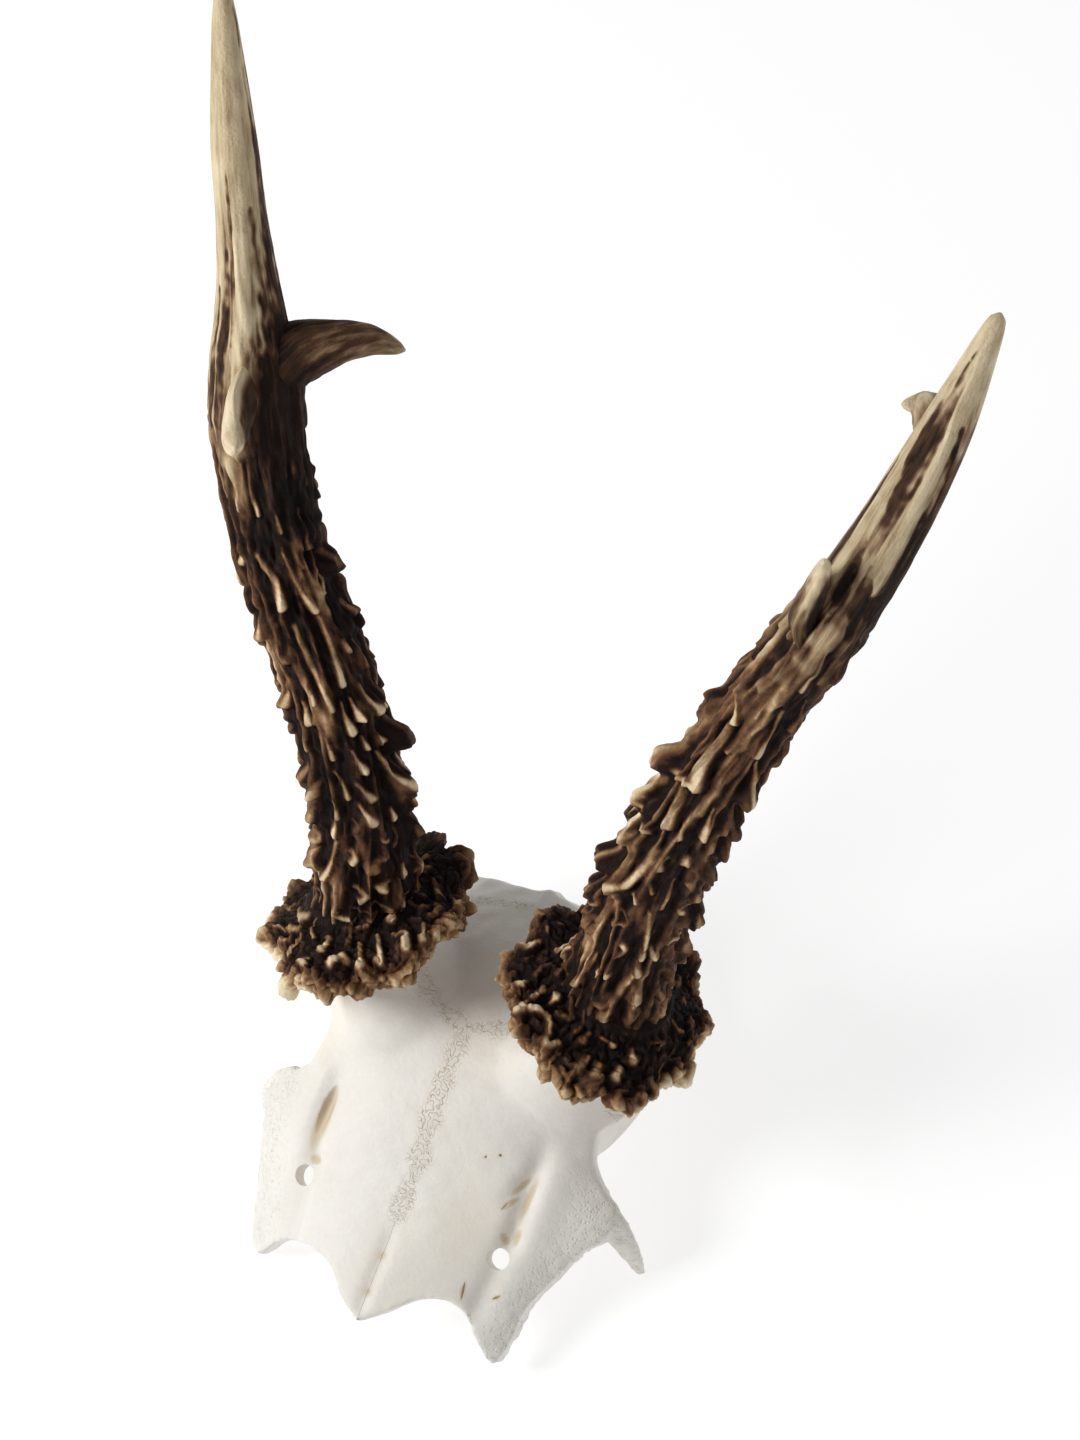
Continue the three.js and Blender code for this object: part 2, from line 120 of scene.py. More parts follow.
# Beams and tines run from root to tip; radii, depths and tones are (share of the length,
# value), rims are (degrees, radius) and knobs are (share, degrees, height). A tone goes from
# 0 for black to 1 for cream. dark_and_shaded_side is the degrees that the darker side faces,
# where it ends and its spread; that side faces away from the key light and is partly the
# horn's own dark colour and partly painted shade.
ANTLERS = {
    "right": {
        "beam": [(-27.4, 77.7, 4.8), (-29.4, 99, 26.5), (-36, 118.4, 45.6), (-47, 137.4, 63.7),
                 (-53.6, 158.2, 82.8), (-56, 178, 100), (-60.5, 201.8, 119.6), (-64.2, 222, 135)],
        "radii": [(0, 11.6), (0.15, 9.8), (0.3, 9.4), (0.45, 8.7), (0.58, 9.2), (0.66, 8.2), (0.7, 6.8),
                  (0.78, 5), (0.86, 4.4), (0.95, 2.8), (0.985, 1.9), (1, 0.8)],
        "front": [(-54.5, 163, 87), (-52.3, 159.5, 94.5), (-47, 151.5, 102), (-42.2, 148.1, 108)],
        "front_radii": [(0, 3), (0.35, 2.8), (0.6, 2.5), (0.8, 2), (0.94, 1.2), (1, 0.3)],
        "front_depth": [(0, 3.4), (0.35, 2.7), (0.65, 1.8), (0.88, 1.15), (1, 1)],
        "front_tone": [(0, 0.78), (0.5, 0.86), (1, 0.9)],
        "rear": [(-55, 168.3, 88.4), (-46, 174, 90.8), (-36.5, 179.6, 88), (-30.8, 181.2, 82.5)],
        "rear_radii": [(0, 6.8), (0.2, 6.6), (0.33, 5.9), (0.45, 5), (0.6, 4), (0.78, 2.8), (0.95, 1.3),
                       (1, 0.3)],
        "rear_depth": [(0, 0.95), (0.35, 1.05), (0.6, 1), (1, 1)],
        "rear_tone": [(0, 0), (0.3, 0.06), (0.5, 0.24), (0.8, 0.42), (1, 0.64)],
        "horn": [(0.5, 0.46), (0.6, 0.6), (0.7, 0.7), (1, 0.76)],
        "dark_and_shaded_side": (-18, 0.76, 0.6),
        "rim": [(-180, 27.5), (-135, 22.5), (-100, 25), (-70, 26.5), (-15, 25), (27, 24), (75, 27.5),
                (100, 28), (135, 26.5), (160, 28), (180, 27.5)],
        "rear_lift": 3,
        "fan_at": 215,
        "warmth": 0.02,
        "smooth_from": 0.56,
        "knobs": [(0.115, 128, 2.4), (0.135, -15, 1.8), (0.173, -15, 2), (0.197, -6, 2.4),
                  (0.245, -16, 5), (0.285, 8, 1.8), (0.368, -18, 1.8), (0.437, -16, 2.6),
                  (0.48, 20, 1.6), (0.173, 116, 1.2), (0.215, 118, 1.8), (0.3, 117, 1.2),
                  (0.395, 112, 1), (0.15, 205, 2.2), (0.2, 250, 2.2), (0.26, 200, 2.2),
                  (0.32, 235, 2), (0.37, 180, 1.8), (0.43, 215, 1.8), (0.5, 190, 1.4)],
        "seed": 11,
    },
    "left": {
        "beam": [(29.4, 77.8, 5.2), (35.9, 102.8, 30.1), (44.5, 121.7, 49.1), (54.2, 138.7, 64.5),
                 (63.3, 152.9, 77.9), (71.5, 168.1, 91.2), (78.6, 185.1, 105.1), (84.4, 203, 120.4)],
        "radii": [(0, 11.6), (0.12, 10), (0.25, 9.2), (0.35, 8.4), (0.45, 7.7), (0.6, 7), (0.7, 6.5),
                  (0.8, 5.5), (0.88, 4.4), (0.95, 2.8), (0.98, 2), (0.992, 1.5), (1, 0.9)],
        "front": [(62.6, 152.5, 77.5), (62, 154, 86), (64.5, 158, 94.5), (66.2, 160.6, 101.5)],
        "front_radii": [(0, 3.4), (0.3, 3.1), (0.5, 2.6), (0.75, 1.9), (0.94, 1.2), (1, 0.3)],
        "front_depth": [(0, 1.5), (0.5, 1.3), (1, 1.1)],
        "front_tone": [(0, 0.3), (0.4, 0.4), (0.7, 0.72), (1, 0.95)],
        "rear": [(78.6, 184, 104), (76, 188.6, 102), (72.2, 191.8, 98.4), (67.3, 192.6, 93.6)],
        "rear_radii": [(0, 3.4), (0.25, 4), (0.45, 3.4), (0.7, 2.1), (0.92, 1), (1, 0.3)],
        "rear_depth": [(0, 1), (1, 1)],
        "rear_tone": [(0, 0.4), (0.5, 0.6), (1, 0.75)],
        "horn": [(0.5, 0.4), (0.64, 0.46), (0.74, 0.62), (0.85, 0.74), (1, 0.84)],
        "dark_and_shaded_side": (-10, 0.95, 0),
        "rim": [(-180, 24.5), (-142, 24), (-100, 22.8), (-63, 25), (-13, 21), (34, 23.4), (75, 26),
                (110, 26.5), (145, 26.5), (180, 24.5)],
        "rear_lift": 1,
        "fan_at": 10,
        "warmth": 0.08,
        "smooth_from": 0.62,
        "knobs": [(0.14, -10, 2.2), (0.197, 148, 2.2), (0.24, 153, 3.2), (0.3, 133, 1.6),
                  (0.34, 140, 2), (0.395, 155, 3.2), (0.235, 116, 1.6), (0.48, 160, 1.6),
                  (0.215, 9, 2.6), (0.268, 28, 1.4), (0.3, 17, 2), (0.335, 15, 2), (0.37, 20, 2),
                  (0.42, 26, 1.8), (0.13, 200, 2.2), (0.17, 265, 2.2), (0.22, 225, 2.2),
                  (0.28, 200, 2), (0.33, 250, 2), (0.38, 215, 1.8), (0.45, 200, 1.6)],
        "seed": 29,
    },
}

# ---- Numbers ----------------------------------------------------------------------------


def along(table, at):
    """Smooth value of a list of (place, value) pairs at one or many places."""
    places, values = np.array(table, float).T
    at = np.clip(at, places[0], places[-1])
    i = np.clip(np.searchsorted(places, at, side="right") - 1, 0, len(places) - 2)
    before = np.maximum(i - 1, 0)
    after = np.minimum(i + 2, len(places) - 1)
    slope0 = (values[i + 1] - values[before]) / (places[i + 1] - places[before])
    slope1 = (values[after] - values[i]) / (places[after] - places[i])
    h = places[i + 1] - places[i]
    t = (at - places[i]) / h
    start = (1 + 2 * t) * (1 - t) ** 2 * values[i] + t * (1 - t) ** 2 * h * slope0
    end = t * t * (3 - 2 * t) * values[i + 1] + t * t * (t - 1) * h * slope1
    return start + end


def ease(value, low, high):
    """0 below low, 1 above high and smooth between them; low may be the larger one."""
    t = np.clip((value - low) / (high - low), 0, 1)
    return t * t * (3 - 2 * t)


def hump(distance, reach):
    """Smooth hump: 1 at no distance, fading out over its reach."""
    return np.exp(-(distance / reach) ** 2)


def ripple(points, wavelength, seed, waves=24):
    """Smooth random field with a standard deviation of 0.5."""
    rng = np.random.default_rng(seed)
    heading = rng.normal(size=(3, waves))
    heading /= np.linalg.norm(heading, axis=0)
    pace = 2 * math.pi / wavelength * rng.uniform(0.7, 1.35, waves)
    phase = rng.uniform(0, 2 * math.pi, waves)
    return np.sin(points @ (heading * pace) + phase).sum(axis=1) / math.sqrt(2 * waves)


def turned_by(angle):
    """The same angle between -pi and pi."""
    return np.arctan2(np.sin(angle), np.cos(angle))


class Path:
    """Smooth curve through a few points, read by the share of its length."""

    def __init__(self, points, per_span=40):
        knots = np.array(points, float)
        knots = np.vstack([2 * knots[0] - knots[1], knots, 2 * knots[-1] - knots[-2]])
        spans = []
        for i in range(len(knots) - 3):
            spans.append(self.span(knots[i:i + 4], per_span))
        self.line = np.vstack(spans + [knots[-2:-1]])
        steps = np.linalg.norm(np.diff(self.line, axis=0), axis=1)
        self.run = np.concatenate([[0], np.cumsum(steps)])
        self.length = self.run[-1]

    @staticmethod
    def span(p, count):
        """Centripetal curve between the middle two of four points."""
        t = np.concatenate([[0], np.cumsum(np.linalg.norm(np.diff(p, axis=0), axis=1) ** 0.5)])
        at = np.linspace(t[1], t[2], count, endpoint=False)[:, None]

        def mix(a, b, ta, tb):
            return (tb - at) / (tb - ta) * a + (at - ta) / (tb - ta) * b

        a1 = mix(p[0], p[1], t[0], t[1])
        a2 = mix(p[1], p[2], t[1], t[2])
        a3 = mix(p[2], p[3], t[2], t[3])
        b1 = mix(a1, a2, t[0], t[2])
        b2 = mix(a2, a3, t[1], t[3])
        return mix(b1, b2, t[1], t[2])

    def at(self, s):
        run = np.asarray(s, float) * self.length
        return np.stack([np.interp(run, self.run, self.line[:, k]) for k in range(3)], axis=-1)

    def frame(self, s):
        """Tangent, the direction across and the direction behind at each share."""
        step = 0.004
        tangent = self.at(np.minimum(s + step, 1)) - self.at(np.maximum(s - step, 0))
        tangent /= np.linalg.norm(tangent, axis=-1, keepdims=True)
        across = np.array([1.0, 0, 0]) - tangent * tangent[..., :1]
        across /= np.linalg.norm(across, axis=-1, keepdims=True)
        return tangent, across, np.cross(tangent, across)

    def around(self, s, angle, radius, depth=1):
        """Points at a radius round the path, from straight across towards the front."""
        _, across, behind = self.frame(s)
        out = across * np.cos(angle)[:, None] - behind * (depth * np.sin(angle))[:, None]
        return self.at(s) + out * np.asarray(radius)[:, None]


# ---- Meshes -----------------------------------------------------------------------------


def as_object(bm, name):
    mesh = bpy.data.meshes.new(name)
    bm.to_mesh(mesh)
    bm.free()
    piece = bpy.data.objects.new(name, mesh)
    bpy.context.scene.collection.objects.link(piece)
    return piece


def points_of(piece):
    points = np.empty(len(piece.data.vertices) * 3, np.float32)
    piece.data.vertices.foreach_get("co", points)
    return points.reshape(-1, 3).astype(float)


def normals_of(piece):
    normals = np.empty(len(piece.data.vertices) * 3, np.float32)
    piece.data.vertex_normals.foreach_get("vector", normals)
    return normals.reshape(-1, 3).astype(float)


def move_points(piece, points):
    piece.data.vertices.foreach_set("co", points.astype(np.float32).ravel())
    piece.data.update()


def mark(piece, name, values):
    """Stores a number, or three, on each vertex."""
    values = np.asarray(values, np.float32)
    if values.ndim == 1:
        piece.data.attributes.new(name, "FLOAT", "POINT").data.foreach_set("value", values)
    else:
        layer = piece.data.attributes.new(name, "FLOAT_VECTOR", "POINT")
        layer.data.foreach_set("vector", values.ravel())


def settle(piece):
    """Applies the piece's modifiers."""
    graph = bpy.context.evaluated_depsgraph_get()
    mesh = bpy.data.meshes.new_from_object(piece.evaluated_get(graph))
    rough = piece.data
    piece.modifiers.clear()
    piece.data = mesh
    bpy.data.meshes.remove(rough)


def combine(piece, tool, operation, keep_tool=False):
    """Joins, cuts or keeps the piece by another closed piece."""
    modifier = piece.modifiers.new("Combine", "BOOLEAN")
    modifier.operation = operation
    modifier.solver = "MANIFOLD"
    modifier.object = tool
    settle(piece)
    if not keep_tool:
        bpy.data.objects.remove(tool)
    if not piece.data.polygons:
        raise RuntimeError(f"{piece.name} is empty after {operation}")


def unit_tube(around, steps):
    """Closed tube of radius 1 from 0 to 1 along Z, with its seam welded and its ends filled."""
    bm = bmesh.new()
    bmesh.ops.create_grid(bm, x_segments=around, y_segments=steps, size=1)
    for vert in bm.verts:
        angle = math.pi * vert.co.x
        vert.co = (math.cos(angle), math.sin(angle), (vert.co.y + 1) / 2)
    bmesh.ops.remove_doubles(bm, verts=bm.verts, dist=1e-4)
    bmesh.ops.holes_fill(bm, edges=bm.edges, sides=0)
    return bm


def face_out(piece):
    bm = bmesh.new()
    bm.from_mesh(piece.data)
    bmesh.ops.recalc_face_normals(bm, faces=bm.faces)
    bm.to_mesh(piece.data)
    bm.free()


def tube(name, grid, shape):
    """Closed tube whose shape(share, angle) gives its points."""
    piece = as_object(unit_tube(*grid), name)
    unit = points_of(piece)
    angle = np.arctan2(unit[:, 1], unit[:, 0])
    move_points(piece, shape(unit[:, 2], angle))
    face_out(piece)
    return piece


def slab(outline, bottom, top, lean=0):
    """Upright closed block over a plan outline."""
    bm = bmesh.new()
    base = bm.faces.new([bm.verts.new((x, y, bottom)) for x, y in outline])
    raised = bmesh.ops.extrude_face_region(bm, geom=[base])["geom"]
    tops = [item for item in raised if isinstance(item, bmesh.types.BMVert)]
    bmesh.ops.translate(bm, verts=tops, vec=(0, 0, top - bottom))
    for vert in bm.verts:
        vert.co.y += lean * (vert.co.z - along(CROWN, SKULL_LENGTH))
    bmesh.ops.recalc_face_normals(bm, faces=bm.faces)
    return as_object(bm, "slab")


def place(piece):
    """Turns a mesh from the forehead frame, in millimetres, into the model's frame, in metres."""
    lift = Matrix.Translation((0, -BACK_RIM * MM, -CUT_HEIGHT * MM))
    piece.data.transform(lift @ Matrix.Rotation(FOREHEAD_SLOPE, 4, "X") @ Matrix.Scale(MM, 4))


def hand_over(piece, material, nodes):
    """Finishes a piece: smooth faces, its material, its body and the nodes that it stands for."""
    place(piece)
    piece.data.polygons.foreach_set("use_smooth", [True] * len(piece.data.polygons))
    piece.data.set_sharp_from_angle(angle=SHARP_EDGE)
    piece.data.materials.clear()
    piece.data.materials.append(material)
    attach(piece, "root")
    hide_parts(*nodes)


def dressed_tube(name, grid, shape, material, nodes):
    """Tube whose shape(share, angle) gives its points and its marks, handed over."""
    marks = {}

    def skin(share, angle):
        points, found = shape(share, angle)
        marks.update(found)
        return points

    piece = tube(name, grid, skin)
    for layer, values in marks.items():
        mark(piece, layer, values)
    hand_over(piece, material, nodes)


# ---- Skull cap --------------------------------------------------------------------------


def roof(x, y):
    """Outer surface of the forehead and the roof of the skull, with a swelling under each burr."""
    aside, ahead = (np.abs(x) - SWELL_X) / SWELL_BREADTH, (y - SWELL_Y) / SWELL_LENGTH
    swell = SWELL_HEIGHT * np.exp(-aside ** 2 - ahead ** 2)
    return along(CROWN, y) - EDGE_DROP * (np.abs(x) / along(EDGE, y)) ** EDGE_POWER + swell


def braincase(x, y):
    """Outer surface of the braincase, rounded down to its sides."""
    turn = np.sqrt(np.clip(1 - (x / along(WALL_BREADTH, y)) ** 2, 0, 1))
    return roof(x, y) - ARCH_DROP * (1 - turn)


def arch(y_front, y_rear, inset, grid):
    """Braincase and the walls between the eye sockets, filled, with the cavity's inset.

    curved is the share of the section that the vault takes; its walls take the rest."""
    curved = 0.7
    pinch = 0.02
    bm = bmesh.new()
    bmesh.ops.create_grid(bm, x_segments=grid[0], y_segments=grid[1], size=1)
    inner = bmesh.ops.extrude_face_region(bm, geom=bm.faces[:])["geom"]
    inner = {item for item in inner if isinstance(item, bmesh.types.BMVert)}
    for vert in bm.verts:
        across_share = vert.co.x
        y = y_front + (y_rear - y_front) * (vert.co.y + 1) / 2
        turn = min(abs(across_share) / curved, 1) * math.pi / 2
        x = (along(WALL_BREADTH, y) - inset) * math.copysign(math.sin(turn), across_share)
        top = roof(x, y) - ARCH_DROP * (1 - math.cos(turn)) - inset
        down = max(0, (abs(across_share) - curved) / (1 - curved))
        z = top + (LEG_BOTTOM - top) * down
        if vert in inner:
            x, z = x * pinch, LEG_BOTTOM - 4
        lean = REAR_LEAN * float(ease(y, 60, SKULL_LENGTH - 4))
        vert.co = (x, y + lean * (z - along(CROWN, y)), z)
    bmesh.ops.recalc_face_normals(bm, faces=bm.faces)
    return as_object(bm, "arch")


def spline_outline(points, per_span=6):
    """Smooth plan line through a few points."""
    flat = Path([(x, y, 0) for x, y in points], per_span)
    return [(x, y) for x, y, _ in flat.line]


def frontal_plate():
    """Curved plate over the eyes, cut to its outline."""
    bm = bmesh.new()
    bmesh.ops.create_grid(bm, x_segments=PLATE_GRID[0], y_segments=PLATE_GRID[1], size=1)
    for vert in bm.verts:
        x = PLATE_HALF[0] * vert.co.x
        y = PLATE_MIDDLE_Y + PLATE_HALF[1] * vert.co.y
        vert.co = (x, y, roof(x, y))
    bmesh.ops.recalc_face_normals(bm, faces=bm.faces)
    bmesh.ops.solidify(bm, geom=bm.faces[:], thickness=PLATE_THICKNESS)
    bmesh.ops.recalc_face_normals(bm, faces=bm.faces)
    plate = as_object(bm, "plate")
    left = spline_outline([(0, -0.2)] + OUTLINE["left"])
    right = [(-x, y) for x, y in reversed(spline_outline([(0, -0.2)] + OUTLINE["right"]))]
    combine(plate, slab(left + right[:-1], bottom=-80, top=40), "INTERSECT")
    return plate


def zygomatic_process(side):
    """Flattened spur of the brow, bending down behind the eye."""
    path = Path([(side * 35, 40.5, -11.5), (side * 40, 37.3, -14.5), (side * 43.6, 34, -19.5),
                 (side * 46.6, 28.9, -29.5)])
    radii = [(0, 5), (0.33, 4.4), (0.66, 3), (1, 1.4)]
    squeeze = 0.45
    return tube("process", PROCESS_GRID, lambda s, angle: path.around(
        s, angle, along(radii, s) * (1 - squeeze * np.abs(np.sin(angle)))))


def burr_axes(side):
    """Centre line of a burr and the directions across and behind it."""
    axis = np.array([side * BURR_TILT[0], BURR_TILT[1], BURR_TILT[2]])
    axis /= np.linalg.norm(axis)
    across = np.array([1.0, 0, 0]) - axis * axis[0]
    across /= np.linalg.norm(across)
    return axis, across, np.cross(axis, across)


def pedicle(name):
    """Short bone stalk under a burr, swelling smoothly into the roof.

    Its radius depends on how high it stands over the roof, so it is found in a few rounds."""
    axis, _, _ = burr_axes(SIDES[name])
    top = np.array(ANTLERS[name]["beam"][0]) - 2.0 * axis
    path = Path([top - 20 * axis, top])
    slim = PEDICLE_RADIUS - 0.4
    flare, flare_reach = 5, 3.5

    def shape(s, angle):
        radius = slim + 0 * s
        for _ in range(8):
            x, y, z = path.around(s, angle, radius).T
            over = np.maximum(z - np.where(y < FOREHEAD_LENGTH, roof(x, y), braincase(x, y)), 0)
            foot = flare * np.exp(-over / flare_reach) * ease(s, 0.98, 0.75)
            radius = (radius + slim + foot) / 2
        return path.around(s, angle, radius)

    return tube("pedicle", STALK_GRID, shape)


def saw_block():
    """All that lies under the saw cut."""
    bm = bmesh.new()
    bmesh.ops.create_cube(bm, size=1)
    bmesh.ops.scale(bm, verts=bm.verts, vec=(300, 400, 100))
    bmesh.ops.translate(bm, verts=bm.verts, vec=(0, 50, CUT_HEIGHT - 50))
    bmesh.ops.rotate(bm, verts=bm.verts, matrix=Matrix.Rotation(-FOREHEAD_SLOPE, 3, "X"))
    return as_object(bm, "saw")


def pit(centre, size, turn, depth):
    """Rounded hollow sunk in the roof at a plan position."""
    x, y = centre
    bm = bmesh.new()
    bmesh.ops.create_icosphere(bm, subdivisions=3, radius=1)
    bmesh.ops.scale(bm, verts=bm.verts, vec=size)
    bmesh.ops.rotate(bm, verts=bm.verts, matrix=Matrix.Rotation(turn, 3, "Z"))
    bmesh.ops.translate(bm, verts=bm.verts, vec=(x, y, roof(x, y) - depth))
    return as_object(bm, "pit")


def screw_hole(centre):
    x, y = centre
    bm = bmesh.new()
    bmesh.ops.create_cone(bm, cap_ends=True, segments=48, radius1=SCREW_RADIUS,
                          radius2=SCREW_RADIUS, depth=30)
    bmesh.ops.translate(bm, verts=bm.verts, vec=(x, y, -5))
    return as_object(bm, "hole")


# Hollows over the eyes, then small vessel holes: plan position, size, turn in degrees, depth.
EYE_HOLLOWS = 5
PITS = [
    ((-25, 35.4), (1.7, 8.4, 2.4), -4, -0.1),
    ((-23.8, 26.6), (1.4, 0.9, 0.7), 0, 0),
    ((24.8, 36), (0.7, 5.6, 1.0), -4, -0.1),
    ((24.9, 27.6), (0.6, 1.9, 0.9), 0, 0),
    ((22.6, 38), (0.4, 2.8, 0.6), -26, 0),
    ((21.7, 34), (0.4, 2.2, 0.5), -32, 0),
    ((22.6, 26.6), (0.5, 1.3, 0.7), 35, 0),
    ((16.8, 42.6), (0.25, 0.25, 0.6), 0, 0),
    ((14, 41.2), (0.22, 0.22, 0.5), 0, 0),
    ((18.5, 13.6), (0.2, 1.9, 0.5), 8, 0),
    ((25, 14.7), (0.2, 0.9, 0.4), -50, 0),
]


def squiggle(line, width, pitch, seed):
    """Meandering suture along a smooth plan line, as (x, y) points.

    Its loops swing by about the width, come once a pitch and lean over like a puzzle's."""
    path = Path([(x, y, 0) for x, y in line])
    count = max(int(path.length / pitch * 16), 20)
    run = np.linspace(0, path.length, count)
    rng = np.random.default_rng(seed)
    knots = np.linspace(0, path.length, int(path.length / (1.6 * pitch)))
    late = along(np.stack([knots, rng.uniform(-0.3, 0.3, len(knots))], axis=1), run)
    beat = 2 * math.pi * (run / pitch + late)
    swing = 1 + along(np.stack([knots, rng.uniform(-0.6, 0.6, len(knots))], axis=1), run)
    fade = np.minimum(ease(run, 0, 2), ease(run, path.length, path.length - 2))
    offset = width * swing * fade * np.sin(beat)
    advance = run - 0.16 * pitch * fade * np.sin(2 * beat)
    centre = path.at(np.clip(advance / path.length, 0, 1))
    tangent, _, _ = path.frame(run / path.length)
    square = np.stack([-tangent[:, 1], tangent[:, 0]], axis=1)
    return centre[:, :2] + square * offset[:, None]


def suture_lines():
    """Plan lines of the sutures, from the median one to the lambdoid one."""
    straight = [(0.1, -3), (0, 6), (-0.1, 14), (0, 21)]
    wavy = squiggle([(0, 21), (0.5, 34), (-0.3, 48), (0, FOREHEAD_LENGTH)], 1.5, 1.7, 3)
    median = np.vstack([np.array(straight[:-1]), wavy])
    lines = {"median": median}
    for name, side in SIDES.items():
        half = [(0, FOREHEAD_LENGTH), (side * 8, 67.5), (side * 15, 73), (side * 24, 79),
                (side * 31, 71), (side * 36, 57)]
        lines["coronal_" + name] = squiggle(half, 1.0, 2.1, 5 + side)
        rear = [(0, LAMBDA_Y), (side * 16, LAMBDA_Y - 2), (side * 40, LAMBDA_Y - 4)]
        lines["lambdoid_" + name] = squiggle(rear, 1.0, 2.3, 9 + side)
    return lines


def cap_solid():
    """The whole cap as one smooth solid in the forehead frame, before it is parted."""
    shell = arch(10, SKULL_LENGTH, 0, ROOF_GRID)
    cavity = arch(4, SKULL_LENGTH - WALL, WALL, CAVITY_GRID)
    parts = [frontal_plate()]
    for name, side in SIDES.items():
        stalk = pedicle(name)
        combine(stalk, cavity, "DIFFERENCE", keep_tool=True)
        parts += [zygomatic_process(side), stalk]
    combine(shell, cavity, "DIFFERENCE")
    bm = bmesh.new()
    for part in parts + [shell]:
        bm.from_mesh(part.data)
        bpy.data.objects.remove(part)
    cap = as_object(bm, "cap")
    remesh = cap.modifiers.new("Remesh", "REMESH")
    remesh.mode = "VOXEL"
    remesh.voxel_size = BONE_VOXEL
    smooth_out(cap, 8)
    round_swells(cap)
    return cap


def smooth_out(cap, rounds, group=""):
    """Smooths the cap, or one vertex group of it, and applies its modifiers."""
    smooth = cap.modifiers.new("Smooth", "SMOOTH")
    smooth.factor = 0.5
    smooth.iterations = rounds
    smooth.vertex_group = group
    settle(cap)


def round_swells(cap):
    """Smooths the bone round the foot of each burr's stalk."""
    reach, depth = 25, 9
    points = points_of(cap)
    outside = points[:, 2] > roof(points[:, 0], points[:, 1]) - depth
    close = np.zeros(len(points), bool)
    for name, side in SIDES.items():
        axis, _, _ = burr_axes(side)
        offset = points - np.array(ANTLERS[name]["beam"][0])
        close |= np.linalg.norm(np.cross(offset, axis), axis=1) < reach
    swell = cap.vertex_groups.new(name="Swell")
    swell.add(np.flatnonzero(close & outside).tolist(), 1.0, "REPLACE")
    smooth_out(cap, 36, swell.name)


# Furrow over each eye: its distance from the midline at places along the head, and its depth,
# with the height of the brow beside it and of the relief on the nape.
FURROW = [(0, 21), (22, 23.5), (34, 24.4), (50, 25)]
FURROW_DEPTH = 0.9
BROW_HEIGHT = 0.5
NASAL_GROOVE = 0.5
NAPE_RELIEF = 0.9
CREST_HEIGHT = 1.1


def weather_bone(cap):
    """Furrows over the eyes, pitted rims of the sockets and the soft unevenness of old bone."""
    points = points_of(cap)
    normals = normals_of(cap)
    x, y, z = points.T
    upward = ease(normals[:, 2], 0.15, 0.6)
    outside = ease(z - roof(x, y), -3.4, -1.2) * upward
    from_furrow = np.abs(x) - along(FURROW, y)
    reach = ease(y, 2, 12) * ease(y, 52, 44)
    change = -FURROW_DEPTH * hump(from_furrow, 2.4) * reach * outside
    change += BROW_HEIGHT * hump(from_furrow - 5, 3.4) * reach * outside
    for pit_shape in PITS[:EYE_HOLLOWS]:
        change -= FURROW_DEPTH * outside * hump(pit_distance(pit_shape, x, y, 1.3), 1)
    rim = ease(np.abs(x) / along(EDGE, y), 0.72, 0.95) * ease(y, 46, 38)
    change += (0.1 * ripple(points, 1.9, 71) + 0.12 * ripple(points, 4.2, 72)) * rim
    change += 0.18 * ripple(points, 17, 73) + 0.06 * ripple(points, 5, 74)
    change -= NASAL_GROOVE * outside * hump(x, 1.6) * ease(y, 24, 14)
    rear = ease(normals[:, 1], 0.45, 0.8) * ease(y, 80, 90)
    crest_z = along(CROWN, SKULL_LENGTH) - 5 - 0.012 * x ** 2
    change += rear * (NAPE_RELIEF * hump(x, 1.8) - NAPE_RELIEF * hump(np.abs(x) - 11, 6))
    change += CREST_HEIGHT * rear * hump(z - crest_z, 2.2) + 0.3 * rear * ripple(points, 7, 75)
    move_points(cap, points + normals * change[:, None])


def pit_distance(pit_shape, x, y, margin):
    """Plan distance from a hollow's middle, 1 at a margin outside its edge."""
    centre, size, turn, _ = pit_shape
    lean = math.radians(turn)
    u = (x - centre[0]) * math.cos(lean) + (y - centre[1]) * math.sin(lean)
    v = (y - centre[1]) * math.cos(lean) - (x - centre[0]) * math.sin(lean)
    return np.hypot(u / (size[0] + margin), v / (size[1] + margin))


def stain_bone(bone, lines):
    """Marks how near each vertex is to a suture, inside a hollow and to the rough rims."""
    points = points_of(bone)
    tree = KDTree(sum(len(line) for line in lines.values()))
    for line in lines.values():
        for x, y in line:
            tree.insert((x, y, 0), 0)
    tree.balance()
    lean = REAR_LEAN * (points[:, 2] - along(CROWN, SKULL_LENGTH)) * ease(points[:, 1], 80, 88)
    gaps = np.array([tree.find((x, y, 0))[2] for x, y in zip(points[:, 0], points[:, 1] - lean)])
    top = ease(points[:, 2] - roof(points[:, 0], points[:, 1]), -16, -8)
    x, y, _ = points.T
    hollow = np.zeros(len(points))
    for pit_shape in PITS:
        hollow = np.maximum(hollow, ease(pit_distance(pit_shape, x, y, 0.3), 1.1, 0.5))
    seam = hump(gaps, SUTURE_REACH)
    hollow = np.maximum(hollow, 0.9 * seam * ease(y, 20, 13))
    mark(bone, "suture", seam * top * ease(y, 18, 24))
    mark(bone, "hollow", hollow * top)
    mark(bone, "rim", ease(np.abs(x) / along(EDGE, y), 0.7, 0.95) * ease(y, 50, 40))


# ---- Antlers ----------------------------------------------------------------------------

